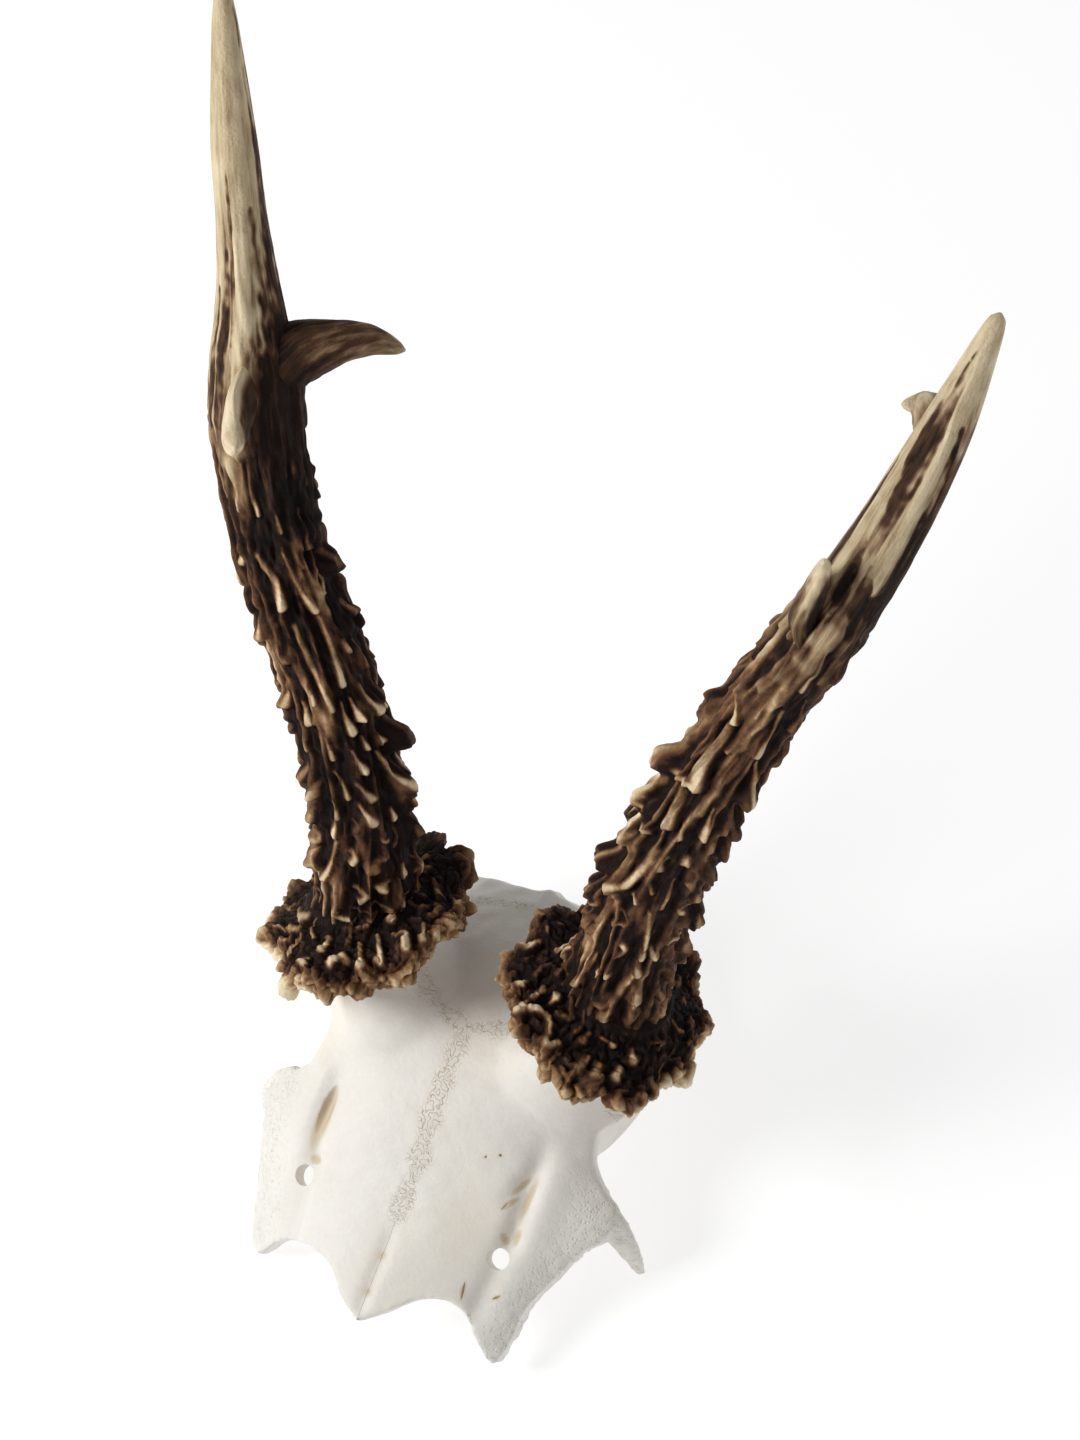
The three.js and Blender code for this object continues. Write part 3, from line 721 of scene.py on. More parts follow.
# A stroke is a pearl, a drip or a ridge: its points from head to tail as (share of the
# length, degrees), the radius of its head and tail, the height of its head and its shade,
# from 0 for brown to 1 for cream.
BEAM_PEARLS = {
    "right": [
        ([(0.415, 70), (0.44, 69), (0.47, 85)], 1.4, 1.1, 1.6, 1),
        ([(0.4, 35), (0.42, 42), (0.45, 48), (0.47, 52)], 1.2, 0.5, 1.5, 0.9),
        ([(0.3, 57), (0.34, 63), (0.39, 66)], 0.9, 1.0, 1.4, 0.9),
        ([(0.32, 36), (0.355, 33), (0.39, 33)], 1.2, 0.6, 1.6, 1),
        ([(0.31, 75), (0.33, 76)], 0.9, 0.5, 1.2, 0.9),
        ([(0.29, 90), (0.31, 93)], 1.4, 0.8, 1.6, 0.9),
        ([(0.348, 15), (0.358, 18)], 1.2, 0.8, 1.6, 0.7),
        ([(0.285, 6), (0.298, 16), (0.312, 18)], 1.7, 0.5, 2.0, 1),
        ([(0.283, 30), (0.303, 33)], 1.2, 0.5, 1.9, 1),
        ([(0.272, 42), (0.29, 45), (0.303, 45)], 1.4, 0.5, 1.9, 1),
        ([(0.245, -18), (0.252, -16), (0.27, -8)], 2.3, 1.2, 1.5, 0.25),
        ([(0.25, 9), (0.256, 12)], 1.3, 0.9, 1.8, 1),
        ([(0.25, 30), (0.262, 32)], 0.9, 0.5, 1.4, 0.8),
        ([(0.228, 39), (0.24, 45), (0.252, 48)], 1.5, 0.5, 1.9, 1),
        ([(0.195, -8), (0.213, 9), (0.24, 18)], 1.7, 0.6, 2.0, 1),
        ([(0.173, 42), (0.185, 50), (0.193, 54)], 1.5, 0.6, 1.9, 1),
        ([(0.165, 14), (0.174, 16)], 1.3, 0.9, 1.7, 1),
        ([(0.1, 12), (0.11, 13)], 1.5, 1.0, 1.9, 1),
        ([(0.1, 108), (0.122, 98), (0.15, 88)], 1.3, 0.8, 1.8, 0.9),
        ([(0.248, 72), (0.272, 73)], 1.0, 0.6, 1.4, 0.8),
        ([(0.182, 81), (0.2, 84)], 1.0, 0.5, 1.4, 0.8),
        ([(0.16, 90), (0.17, 88)], 1.4, 1.0, 1.6, 0.9),
        ([(0.225, 122), (0.235, 112)], 1.7, 1.2, 1.6, 0.6),
        ([(0.208, 106), (0.218, 102)], 1.8, 1.1, 1.8, 0.9),
        ([(0.175, 117), (0.187, 113)], 1.6, 1.0, 1.6, 0.7),
        ([(0.112, 130), (0.12, 128)], 1.6, 1.0, 1.3, 0.5),
        ([(0.437, -16), (0.455, -4)], 2.1, 1.1, 0.7, 0.4),
        ([(0.378, -20), (0.392, -12)], 1.5, 1.0, 1.4, 0.5),
        ([(0.173, -15), (0.183, -9)], 1.8, 1.2, 1.5, 0.8),
        ([(0.135, -15), (0.143, -14)], 1.5, 0.8, 1.4, 0.4),
        ([(0.462, 118), (0.482, 108)], 1.4, 0.8, 1.5, 0.8),
        ([(0.39, 112), (0.405, 108)], 1.5, 0.8, 1.6, 0.8),
        ([(0.312, 116), (0.33, 108)], 1.5, 0.7, 1.6, 0.8),
        ([(0.585, 79), (0.63, 76), (0.69, 68), (0.78, 65)], 3.4, 1.6, 1.5, 1),
        ([(0.65, -25), (0.6, -14)], 6, 3, 2.4, 0),
    ],
    "left": [
        ([(0.5, 105), (0.522, 127)], 1.2, 0.9, 1.6, 0.9),
        ([(0.408, 96), (0.438, 105), (0.478, 105), (0.49, 108)], 2.0, 1.2, 2.3, 1),
        ([(0.408, 96), (0.395, 132)], 1.6, 1.2, 2.2, 1),
        ([(0.395, 155), (0.4, 148)], 2.5, 1.6, 1.4, 0.3),
        ([(0.345, 154), (0.358, 150), (0.382, 138)], 1.3, 1.0, 2.0, 0.7),
        ([(0.338, 146), (0.338, 135)], 1.4, 0.9, 1.7, 0.7),
        ([(0.348, 99), (0.39, 108)], 1.8, 1.5, 2.0, 0.8),
        ([(0.322, 121), (0.32, 117)], 1.8, 1.4, 2.2, 0.8),
        ([(0.292, 136), (0.308, 128)], 1.5, 1.1, 1.9, 0.7),
        ([(0.243, 154), (0.232, 152)], 2.5, 1.8, 1.5, 0.2),
        ([(0.25, 105), (0.278, 99), (0.31, 96)], 1.3, 1.4, 2.0, 1),
        ([(0.195, 148), (0.2, 150)], 1.6, 1.2, 1.6, 0.6),
        ([(0.232, 122), (0.245, 108)], 1.7, 1.3, 2.0, 0.9),
        ([(0.238, 88), (0.24, 94)], 1.1, 0.8, 1.4, 0.8),
        ([(0.408, 22), (0.44, 33), (0.465, 45)], 1.6, 0.6, 2.0, 0.9),
        ([(0.36, 16), (0.38, 30)], 1.7, 0.8, 2.0, 0.3),
        ([(0.332, 17), (0.35, 18)], 1.6, 0.8, 1.8, 0.5),
        ([(0.352, 54), (0.39, 60)], 1.2, 0.5, 1.6, 0.9),
        ([(0.292, 16), (0.318, 32)], 1.6, 0.8, 1.8, 0.3),
        ([(0.262, 27), (0.272, 30)], 1.3, 0.8, 1.6, 0.7),
        ([(0.213, 9), (0.222, 9)], 1.8, 1.0, 1.8, 0.7),
        ([(0.308, 57), (0.316, 58)], 1.4, 1.1, 1.3, 0.8),
        ([(0.235, 57), (0.26, 57), (0.28, 58)], 0.9, 0.6, 1.3, 0.7),
        ([(0.173, 57), (0.2, 62), (0.225, 68)], 0.9, 0.8, 1.4, 0.9),
        ([(0.16, 58), (0.17, 57)], 1.2, 0.8, 1.6, 0.9),
        ([(0.16, 45), (0.17, 50)], 1.2, 0.8, 1.6, 0.9),
        ([(0.075, 120), (0.105, 114), (0.132, 108)], 0.9, 0.8, 1.7, 0.8),
        ([(0.17, 81), (0.16, 78), (0.145, 85)], 1.3, 0.8, 2.0, 0.9),
        ([(0.135, 57), (0.142, 60)], 1.3, 0.8, 1.8, 0.9),
        ([(0.113, 99), (0.115, 98)], 1.0, 0.8, 1.5, 1),
        ([(0.12, 87), (0.122, 87)], 1.0, 0.8, 1.5, 1),
        ([(0.095, 51), (0.108, 51)], 1.8, 1.2, 1.9, 0.8),
        ([(0.09, 20), (0.102, 26)], 1.3, 1.0, 1.7, 0.6),
        ([(0.65, 76), (0.6, 72), (0.55, 74)], 2.6, 1.2, 1.6, 0.75),
        ([(0.71, 50), (0.8, 58), (0.88, 76)], 1.7, 1.2, 0.7, 0.9),
        ([(0.7, 122), (0.79, 132)], 1.9, 1.2, 0.6, 0.9),
    ],
}
BURR_PEARLS = {
    "right": [
        ([(0.84, -27), (0.88, -21)], 1.8, 1.0, 1.8, 1),
        ([(0.62, -33), (0.7, -27), (0.74, -33)], 1.6, 1.0, 2.0, 1),
        ([(0.63, -48), (0.79, -43)], 1.6, 0.8, 1.9, 1),
        ([(0.62, -58), (0.66, -58), (0.79, -57)], 1.8, 0.8, 1.9, 1),
        ([(0.69, -75), (0.73, -70), (0.7, -67)], 1.8, 1.3, 2.0, 1),
        ([(0.77, -86), (0.86, -84)], 1.8, 1.2, 1.6, 0.9),
        ([(0.95, -124), (0.92, -150)], 2.3, 1.3, 1.8, 0.8),
        ([(0.58, -23), (0.62, -16)], 1.6, 0.9, 1.8, 0.8),
        ([(0.71, 15), (0.76, 32)], 1.7, 1.0, 1.8, 0.6),
        ([(0.58, 9), (0.63, 20)], 1.7, 1.0, 1.8, 0.6),
        ([(0.8, -138), (0.87, -127)], 2.1, 1.4, 1.6, 0.7),
        ([(0.67, -135), (0.76, -130)], 2.3, 1.6, 1.8, 0.7),
    ],
    "left": [
        ([(0.66, -130), (0.71, -128), (0.75, -122), (0.71, -116), (0.64, -111)], 1.4, 1.2, 2.2, 1),
        ([(0.81, 178), (0.87, 162), (0.78, 142), (0.67, 135)], 1.0, 0.7, 1.5, 0.9),
        ([(0.98, 148), (0.8, 132), (0.72, 126)], 1.4, 1.3, 1.7, 0.9),
        ([(0.62, -178), (0.64, 175)], 2.2, 1.6, 2.0, 1),
        ([(0.6, -132), (0.63, -135)], 2.2, 1.4, 2.2, 1),
        ([(0.62, -150), (0.66, -153)], 2.0, 1.4, 1.8, 0.9),
        ([(0.69, -138), (0.78, -146)], 1.4, 1.2, 1.7, 0.8),
        ([(0.86, -135), (0.81, -132)], 1.6, 1.0, 1.8, 0.9),
        ([(0.62, -108), (0.69, -105)], 2.1, 1.4, 2.0, 0.9),
        ([(0.67, -85), (0.76, -84)], 1.8, 1.3, 1.9, 0.7),
        ([(0.66, -75), (0.75, -75)], 2.1, 1.3, 2.1, 0.7),
        ([(0.82, -51), (0.89, -51)], 1.7, 1.0, 1.8, 0.8),
        ([(0.68, -63), (0.76, -60)], 1.8, 1.2, 1.8, 0.9),
        ([(0.58, -34), (0.68, -38)], 2.3, 1.4, 2.0, 0.6),
    ],
}
# Brown gutters of the beams, in the same form, with their depth and how dark they are.
GUTTERS = {
    "right": [
        ([(0.03, 44), (0.1, 46), (0.155, 41)], 1.7, 1.0, 1.1, 1),
        ([(0.03, 77), (0.1, 75), (0.15, 70)], 1.7, 0.9, 1.1, 1),
        # The two strokes with 8 mm heads, at 18 to 27 and -55 to -15 degrees, darken the side facing +x,
        # away from the key light: partly brown colour, partly painted shade.
        ([(0.48, 18), (0.58, 26), (0.68, 24), (0.8, 27)], 8, 0.8, 0.4, 1),
        ([(0.66, -12), (0.82, -16), (0.98, -22)], 3.6, 1.4, 0.3, 0.9),
        ([(0.52, -55), (0.64, -35), (0.72, -15)], 8.0, 2.0, 0.4, 0.9),
        ([(0.66, 107), (0.72, 102), (0.79, 97)], 1.7, 0.4, 0.25, 0.9),
        ([(0.66, 107), (0.6, 109), (0.55, 112)], 1.7, 0.6, 0.25, 0.9),
        ([(0.6, 127), (0.66, 125), (0.73, 122)], 1.6, 0.6, 0.2, 0.7),
        ([(0.74, 86), (0.79, 85), (0.84, 84)], 0.8, 0.3, 0.1, 0.6),
        ([(0.74, 86), (0.68, 89)], 0.8, 0.3, 0.1, 0.6),
        ([(0.58, 205), (0.72, 200), (0.82, 190)], 3.5, 1.0, 0.4, 0.8),
        ([(0.58, 255), (0.7, 245), (0.78, 240)], 4.0, 1.2, 0.4, 0.8),
    ],
    "left": [
        ([(0.86, 109), (0.9, 111), (0.95, 100)], 3.2, 0.5, 0.6, 1),
        ([(0.86, 109), (0.81, 98), (0.745, 90)], 3.2, 0.9, 0.6, 1),
        ([(0.68, 26), (0.78, 30), (0.89, 46)], 2.6, 0.5, 0.4, 0.9),
        ([(0.955, 100), (0.965, 98)], 0.7, 0.3, 0.1, 0.5),
        ([(0.69, 152), (0.76, 158), (0.83, 162)], 2.6, 0.6, 0.4, 0.9),
        ([(0.69, 95), (0.72, 101), (0.75, 107)], 1.9, 0.4, 0.4, 0.95),
        ([(0.69, 95), (0.66, 90)], 1.9, 0.6, 0.4, 0.9),
        ([(0.69, 62), (0.73, 76)], 2.2, 0.5, 0.3, 0.7),
        ([(0.69, 62), (0.65, 48)], 2.2, 0.8, 0.3, 0.7),
        ([(0.66, 215), (0.78, 212), (0.88, 205)], 3.2, 1.0, 0.4, 0.8),
        ([(0.64, 285), (0.74, 280), (0.83, 275)], 3.0, 1.0, 0.4, 0.8),
    ],
}


def taper_pieces(strokes, length, hold, keep):
    """Straight tapered pieces of strokes: both ends, their radii and heights, and the shade.

    hold is the share of a stroke over which its head thins down to its tail, and keep is the
    share of its shade that is left there."""
    pieces = []
    for points, head, tail, tall, shade in strokes:
        last = len(points) - 1
        order = np.arange(last + 1)
        shares, degrees = np.array(points, float).T
        angles = np.unwrap(np.radians(degrees))
        t = np.linspace(0, 1, 3 * last + 1)
        run = length * along(np.stack([order, shares], axis=1), t * last)
        turn = along(np.stack([order, angles], axis=1), t * last)
        bulb = np.exp(-(t / hold) ** 2)
        radii = tail + (head - tail) * bulb
        talls = tall * (0.45 + 0.55 * bulb)
        for i in range(3 * last):
            both = slice(i, i + 2)
            fade = shade * (keep + (1 - keep) * bulb[i])
            pieces.append((run[both], turn[both], radii[both], talls[both], fade))
    return pieces


def stroke_field(strokes, length, run, angle, girth, hold=0.35, keep=0.6):
    """Height, crest and shade that strokes give to points on a tube."""
    height = np.zeros(len(run))
    crest = np.zeros(len(run))
    pale = np.zeros(len(run))
    for (run0, run1), (at0, at1), radii, talls, shade in taper_pieces(strokes, length, hold, keep):
        reach = max(radii)
        near = np.flatnonzero((run > min(run0, run1) - reach) & (run < max(run0, run1) + reach))
        side = girth[near] * turned_by(angle[near] - at0)
        turn = girth[near] * turned_by(at1 - at0)
        ahead = run[near] - run0
        rise = run1 - run0
        t = np.clip((ahead * rise + side * turn) / (rise ** 2 + turn ** 2 + 0.01), 0, 1)
        wide = radii[0] + (radii[1] - radii[0]) * t
        off = np.hypot(ahead - t * rise, side - t * turn) / wide
        dome = np.sqrt(np.clip(1 - off ** 2, 0, 1))
        height[near] = np.maximum(height[near], dome * (talls[0] + (talls[1] - talls[0]) * t))
        crest[near] = np.maximum(crest[near], dome)
        pale[near] = np.maximum(pale[near], shade * ease(dome, 0.4, 0.95))
    return height, crest, pale


def stroke_samples(stroke, length):
    """Six places along a stroke as (run, angle)."""
    points = np.array(stroke[0], float)
    at = np.linspace(0, len(points) - 1, 6)
    shares = np.interp(at, range(len(points)), points[:, 0])
    angles = np.interp(at, range(len(points)), np.unwrap(np.radians(points[:, 1])))
    return np.stack([shares * length, angles], axis=1)


def fill_between(strokes, length, girth, tries, spacing, make):
    """Adds random strokes that keep clear of the ones that are there."""
    strokes = list(strokes)
    taken = np.vstack([stroke_samples(stroke, length) for stroke in strokes])
    for _ in range(tries):
        stroke = make()
        spots = stroke_samples(stroke, length)
        ahead = taken[:, :1] - spots[:, 0]
        side = girth * turned_by(taken[:, 1:] - spots[:, 1])
        if np.hypot(ahead, side).min() > spacing + 0.5 * stroke[1]:
            strokes.append(stroke)
            taken = np.vstack([taken, spots])
    return strokes


def beam_strokes(name, length):
    """Pearls and drips of a beam: dense and round near the burr, long and thin higher up."""
    antler = ANTLERS[name]
    rng = np.random.default_rng(antler["seed"])

    def drip():
        share = rng.uniform(0.05, antler["smooth_from"])
        up = share / antler["smooth_from"]
        degrees = rng.uniform(-180, 180)
        tail = (rng.uniform(0.5, 4) + 15 * up ** 1.5 * rng.uniform(0.2, 1)) / length
        sway = rng.normal(0, 9, 2) * (1.2 - up)
        points = [(share, degrees), (share + 0.4 * tail, degrees + sway[0]),
                  (share + tail, degrees + sway[1])]
        head = rng.choice([0.8, 1.1, 1.45, 1.9], p=[0.25, 0.35, 0.25, 0.15]) * (1.1 - 0.35 * up)
        lit = ease(-math.cos(math.radians(degrees)), -0.2, 0.9)
        return points, head, 0.55 * head, head * rng.uniform(0.75, 1.1), rng.uniform(0.3, 1 - 0.3 * lit)

    return fill_between(BEAM_PEARLS[name], length, girth=8.5, tries=1600, spacing=1.6, make=drip)


def knob_swell(antler, s, angle):
    """Broad swellings under the largest pearls, as on the plain beams."""
    swell = np.zeros(len(s))
    for share, degrees, tall in antler["knobs"]:
        turn = turned_by(angle - math.radians(degrees)) / KNOB_TURN
        swell += tall * ease(np.exp(-((s - share) / KNOB_SHARE) ** 2 - turn ** 2), 0.1, 0.65)
    return swell


def beam_surface(name, path, s, angle):
    """Radius of a beam, how far its pearls hang down, and its marks."""
    antler = ANTLERS[name]
    run = s * path.length
    girth = along(antler["radii"], s)
    seed = antler["seed"]
    straight = np.stack([girth * np.cos(angle), girth * np.sin(angle), run], axis=1)
    rough = ease(s, antler["smooth_from"] + 0.14, antler["smooth_from"] - 0.1)
    fade_tip = ease(1 - s, 0, 0.25)
    streaks = ripple(straight * (1, 1, 0.09), 4.4, seed + 1)
    ridge = np.clip(1 - 4 * streaks ** 2, 0, 1)
    fine = ripple(straight * (1, 1, 0.12), 1.9, seed + 4)
    fine_ridge = np.clip(1 - 4 * fine ** 2, 0, 1)
    crinkle = ripple(straight * (1, 1, 0.45), 1.5, seed + 2)
    knotty = ripple(straight, 4.5, seed + 3)
    height, crest, pale = stroke_field(beam_strokes(name, path.length), path.length, run, angle, girth)
    depth, sunk, dark = stroke_field(GUTTERS[name], path.length, run, angle, girth, hold=0.75, keep=0.1)

    # Relief: ridged and crinkled where rough, softly fluted above, with a collar at the root.
    relief = (0.95 * (ridge - 0.5) + 0.3 * (fine_ridge - 0.5) + 0.2 * crinkle + 0.4 * knotty) * rough
    fluted = (1 - rough) * fade_tip * (0.25 + 0.75 * ease(s, 0.84, 0.66))
    relief += (0.3 * (ridge - 0.5) + 0.1 * (fine_ridge - 0.5)) * fluted
    knobs = 0.8 * knob_swell(antler, s, angle)
    relief += 0.9 * height - depth + knobs
    root = ease(s, 0.075, 0.0)
    radius = girth + relief * (1 - 0.6 * root) + 1.6 * root ** 2

    # Tone of the pearled bark: brown ridges in patches, dark gutters and pale crests.
    patches = ease(ripple(straight * (1, 1, 0.25), 9, seed + 5), -0.1, 0.6)
    flank = ease(np.degrees(angle), 85, 130)
    bark = antler["warmth"] + (0.25 + 0.32 * patches + 0.16 * flank) * ridge ** 2
    bark += 0.1 * fine_ridge + 0.1 * crinkle
    bark = np.clip(bark - 0.2 * sunk, 0, 1)
    bark = np.maximum(bark, crest ** 2 * (0.26 + 0.68 * pale))

    # Tone of the smooth horn: paler to the tip, with dark streaks, gutters and a darker side
    # facing away from the key light, partly its own colour and partly painted shade.
    grain = ripple(straight * (1, 1, 0.05), 1.7, seed + 6)
    horn = along(antler["horn"], s) + 0.05 * knotty + 0.1 * grain * ease(s, 0.95, 0.75)
    horn += 0.14 * (ridge - 0.6) * ease(1 - s, 0.1, 0.4)
    uneven = 0.34 * grain + 0.22 * fine + 0.18 * crinkle
    horn -= 0.62 * ease(dark + uneven * ease(dark, 0, 0.25), 0.1, 0.95)
    # Darker side facing away from the key light: partly the horn's own dark colour, partly painted shade;
    # pale pearls are dulled there too.
    dark_at, dark_until, spread = antler["dark_and_shaded_side"]
    facing = np.cos(angle - math.radians(dark_at)) + spread * ease(s, dark_until, dark_until - 0.16)
    flank_end = ease(s + 0.04 * knotty + 0.03 * grain, dark_until, dark_until - 0.12)
    horn -= 0.5 * ease(facing + 0.5 * uneven, 0.3, 0.9) * flank_end
    horn += 0.2 * pale * (1 - 0.8 * ease(facing, 0.3, 0.8))

    sheen = ease(s + 0.05 * knotty, antler["smooth_from"] - 0.08, antler["smooth_from"] + 0.08)
    shade = np.clip(bark * (1 - sheen) + horn * sheen, 0, 1)
    droop = (0.35 * height + 0.3 * knobs) * rough
    return radius, droop, {"tone": shade, "polish": sheen, "grain": straight}


def beam(name, material):
    """Pearled beam from the burr to the tip of the top tine."""
    antler = ANTLERS[name]
    path = Path(antler["beam"])
    first = 0.012

    def shape(share, angle):
        s = first + (1 - first) * (0.6 * share + 0.8 * share ** 3 - 0.4 * share ** 4)
        radius, droop, marks = beam_surface(name, path, s, angle)
        tangent, _, _ = path.frame(s)
        skin = path.around(s, angle, radius * np.sqrt(ease(1 - s, -0.002, 0.006)))
        return skin - tangent * droop[:, None], marks

    stood_for = [f"{part}_{name}" for part in ("lower_beam", "mid_beam", "top_tine")]
    dressed_tube("pearled_beam_" + name, BEAM_GRID, shape, material, stood_for)


def tine(name, which, material):
    """Side tine of an antler, smooth and paler towards its tip."""
    antler = ANTLERS[name]
    path = Path(antler[which])
    seed = antler["seed"] + len(which)

    def shape(s, angle):
        girth = along(antler[which + "_radii"], s)
        straight = np.stack([girth * np.cos(angle), girth * np.sin(angle), s * path.length], axis=1)
        streaks = ripple(straight * (1, 1, 0.12), 3.0, seed)
        crinkle = ripple(straight * (1, 1, 0.4), 1.6, seed + 1)
        fade = ease(1 - s, 0.02, 0.4)
        if which == "front":
            power = 1.4 + 0.5 * ease(s, 0.5, 0.9)
            bulge = np.abs(np.cos(angle)) ** power + np.abs(np.sin(angle)) ** power
            girth = girth / bulge ** (1 / power)
        radius = girth + (0.3 * (0.5 - np.abs(streaks)) + 0.08 * crinkle) * fade
        crest = np.abs(np.sin(angle)) ** 3
        tone = along(antler[which + "_tone"], s) + 0.16 * streaks * fade + 0.08 * crinkle
        if which == "front":
            # Front tines: the sides a little darker than the keel, and the side facing +x, away from the key
            # light, much darker, partly the tine's own colour and partly painted shade.
            flank = 0.12 * (1 - crest) + 0.6 * ease(np.cos(angle), 0.1, 0.8)
            tone -= flank * ease(s, 0.98, 0.7)
        polish = 0.75 + 0.25 * ease(s, 0.2, 0.7)
        points = path.around(s, angle, radius, along(antler[which + "_depth"], s))
        return points, {"tone": np.clip(tone, 0, 1), "polish": polish, "grain": straight}

    dressed_tube(f"{which}_tine_fine_{name}", TINE_GRID, shape, material,
                 [f"{which}_tine_{name}"])


# Section of a burr from under its rim to the beam: radius and height over its middle plane.
# BURR_TURNED is the radius that its rim would have if it were round.
BURR_SECTION = [(10.5, -7.5), (12.3, -4.6), (16.5, -3.8), (21, -2.2), (23.4, 0.8), (22.6, 3.4),
                (19, 4.6), (15.5, 5.8), (12.8, 7.6), (10.5, 10)]
BURR_TURNED = 23.2


def burr_strokes(name, length):
    """Pearls of a burr's upper side and the knobs of its rim."""
    rng = np.random.default_rng(ANTLERS[name]["seed"] + 7)

    def rim_knob():
        share = rng.uniform(0.36, 0.55)
        degrees = rng.uniform(-180, 180)
        head = rng.uniform(1.3, 2.4)
        tail = rng.uniform(0.04, 0.14)
        points = [(share, degrees), (share + tail, degrees + rng.normal(0, 5))]
        return points, head, 0.7 * head, head * rng.uniform(0.5, 0.8), rng.uniform(0.2, 0.75)

    def pearl():
        share = rng.uniform(0.54, 0.9)
        degrees = rng.uniform(-180, 180)
        head = rng.choice([0.8, 1.05, 1.35], p=[0.35, 0.4, 0.25])
        tail = rng.uniform(0.01, 0.15)
        sway = rng.normal(0, 6, 2)
        points = [(share, degrees), (share + 0.5 * tail, degrees + sway[0]),
                  (share + tail, degrees + sway[1])]
        return points, head, 0.6 * head, head * rng.uniform(0.9, 1.3), rng.uniform(0.1, 0.9)

    strokes = fill_between(BURR_PEARLS[name], length, girth=23, tries=150, spacing=2.2, make=rim_knob)
    return fill_between(strokes, length, girth=18, tries=400, spacing=2.0, make=pearl)


def burr(name, material):
    """Coronet: a dark dish with a ring of pearls and an uneven, knobbly rim."""
    antler = ANTLERS[name]
    side = SIDES[name]
    seed = antler["seed"]
    axis, across, behind = burr_axes(side)
    centre = np.array(antler["beam"][0])
    section = Path([(r, h, 0) for r, h in BURR_SECTION])
    strokes = burr_strokes(name, section.length)

    def shape(share, angle):
        profile = section.at(share)
        lean, _, _ = section.frame(share)
        run = share * section.length
        r, h = profile[:, 0], profile[:, 1]
        outer = ease(r / BURR_TURNED, 0.55, 1)
        rim = along(antler["rim"], np.degrees(angle)) / BURR_TURNED
        girth = r * (1 + outer * (rim * (0.95 + 0.04 * np.cos(9 * angle + side)) - 1))
        flat = np.stack([girth * np.cos(angle), girth * np.sin(angle), h], axis=1)
        lumps = np.minimum(1.5 * np.abs(ripple(flat, 8, seed + 8)), 1)
        grit = np.minimum(1.5 * np.abs(ripple(flat, 3.2, seed + 9)), 1)
        crinkle = ripple(flat, 1.1, seed + 11)
        fan = ripple(np.stack([14 * np.cos(angle), 14 * np.sin(angle), 0.12 * run], axis=1), 2.6, seed + 10)
        ridge = np.minimum(1.6 * np.abs(fan), 1)
        height, crest, pale = stroke_field(strokes, section.length, run, angle, girth)
        inside = ease(share, 0.0, 0.12) * ease(share, 1.0, 0.93)
        relief = (0.7 * (ridge - 0.7) + 1.7 * (lumps - 0.7)) * outer + 0.7 * (grit - 0.6)
        relief = (relief + 0.16 * crinkle + height) * inside
        rimmed = ease(share, 0.66, 0.5)
        shaded = ease(np.sin(angle), -0.2, 0.8)
        spread = ease(np.cos(angle - math.radians(antler["fan_at"])), 0.3, 0.9) * ease(share, 0.72, 0.58)
        tone = 0.12 * ridge * outer + 0.2 * lumps * grit + 0.1 * (grit - 0.3) + 0.07 * crinkle
        tone += rimmed * (0.3 + 0.14 * (1 - shaded)) - 0.05 * shaded + spread * (0.2 + 0.2 * ridge)
        tone = np.maximum(tone, crest ** 2 * (0.28 + 0.66 * pale * (1 - 0.25 * shaded)))
        radial = girth + relief * lean[:, 1]
        sway = 1.2 * np.cos(5 * angle - side)
        lift = outer * (sway + antler["rear_lift"] * np.clip(np.sin(angle), 0, 1) ** 2)
        level = h + lift - relief * lean[:, 0]
        plane = across * (radial * np.cos(angle))[:, None] + behind * (radial * np.sin(angle))[:, None]
        marks = {"tone": np.clip(tone, 0, 1), "polish": np.zeros(len(share)), "grain": flat}
        return centre + plane + axis * level[:, None], marks

    dressed_tube("coronet_" + name, BURR_GRID, shape, material, ["burr_" + name])


# ---- Materials --------------------------------------------------------------------------


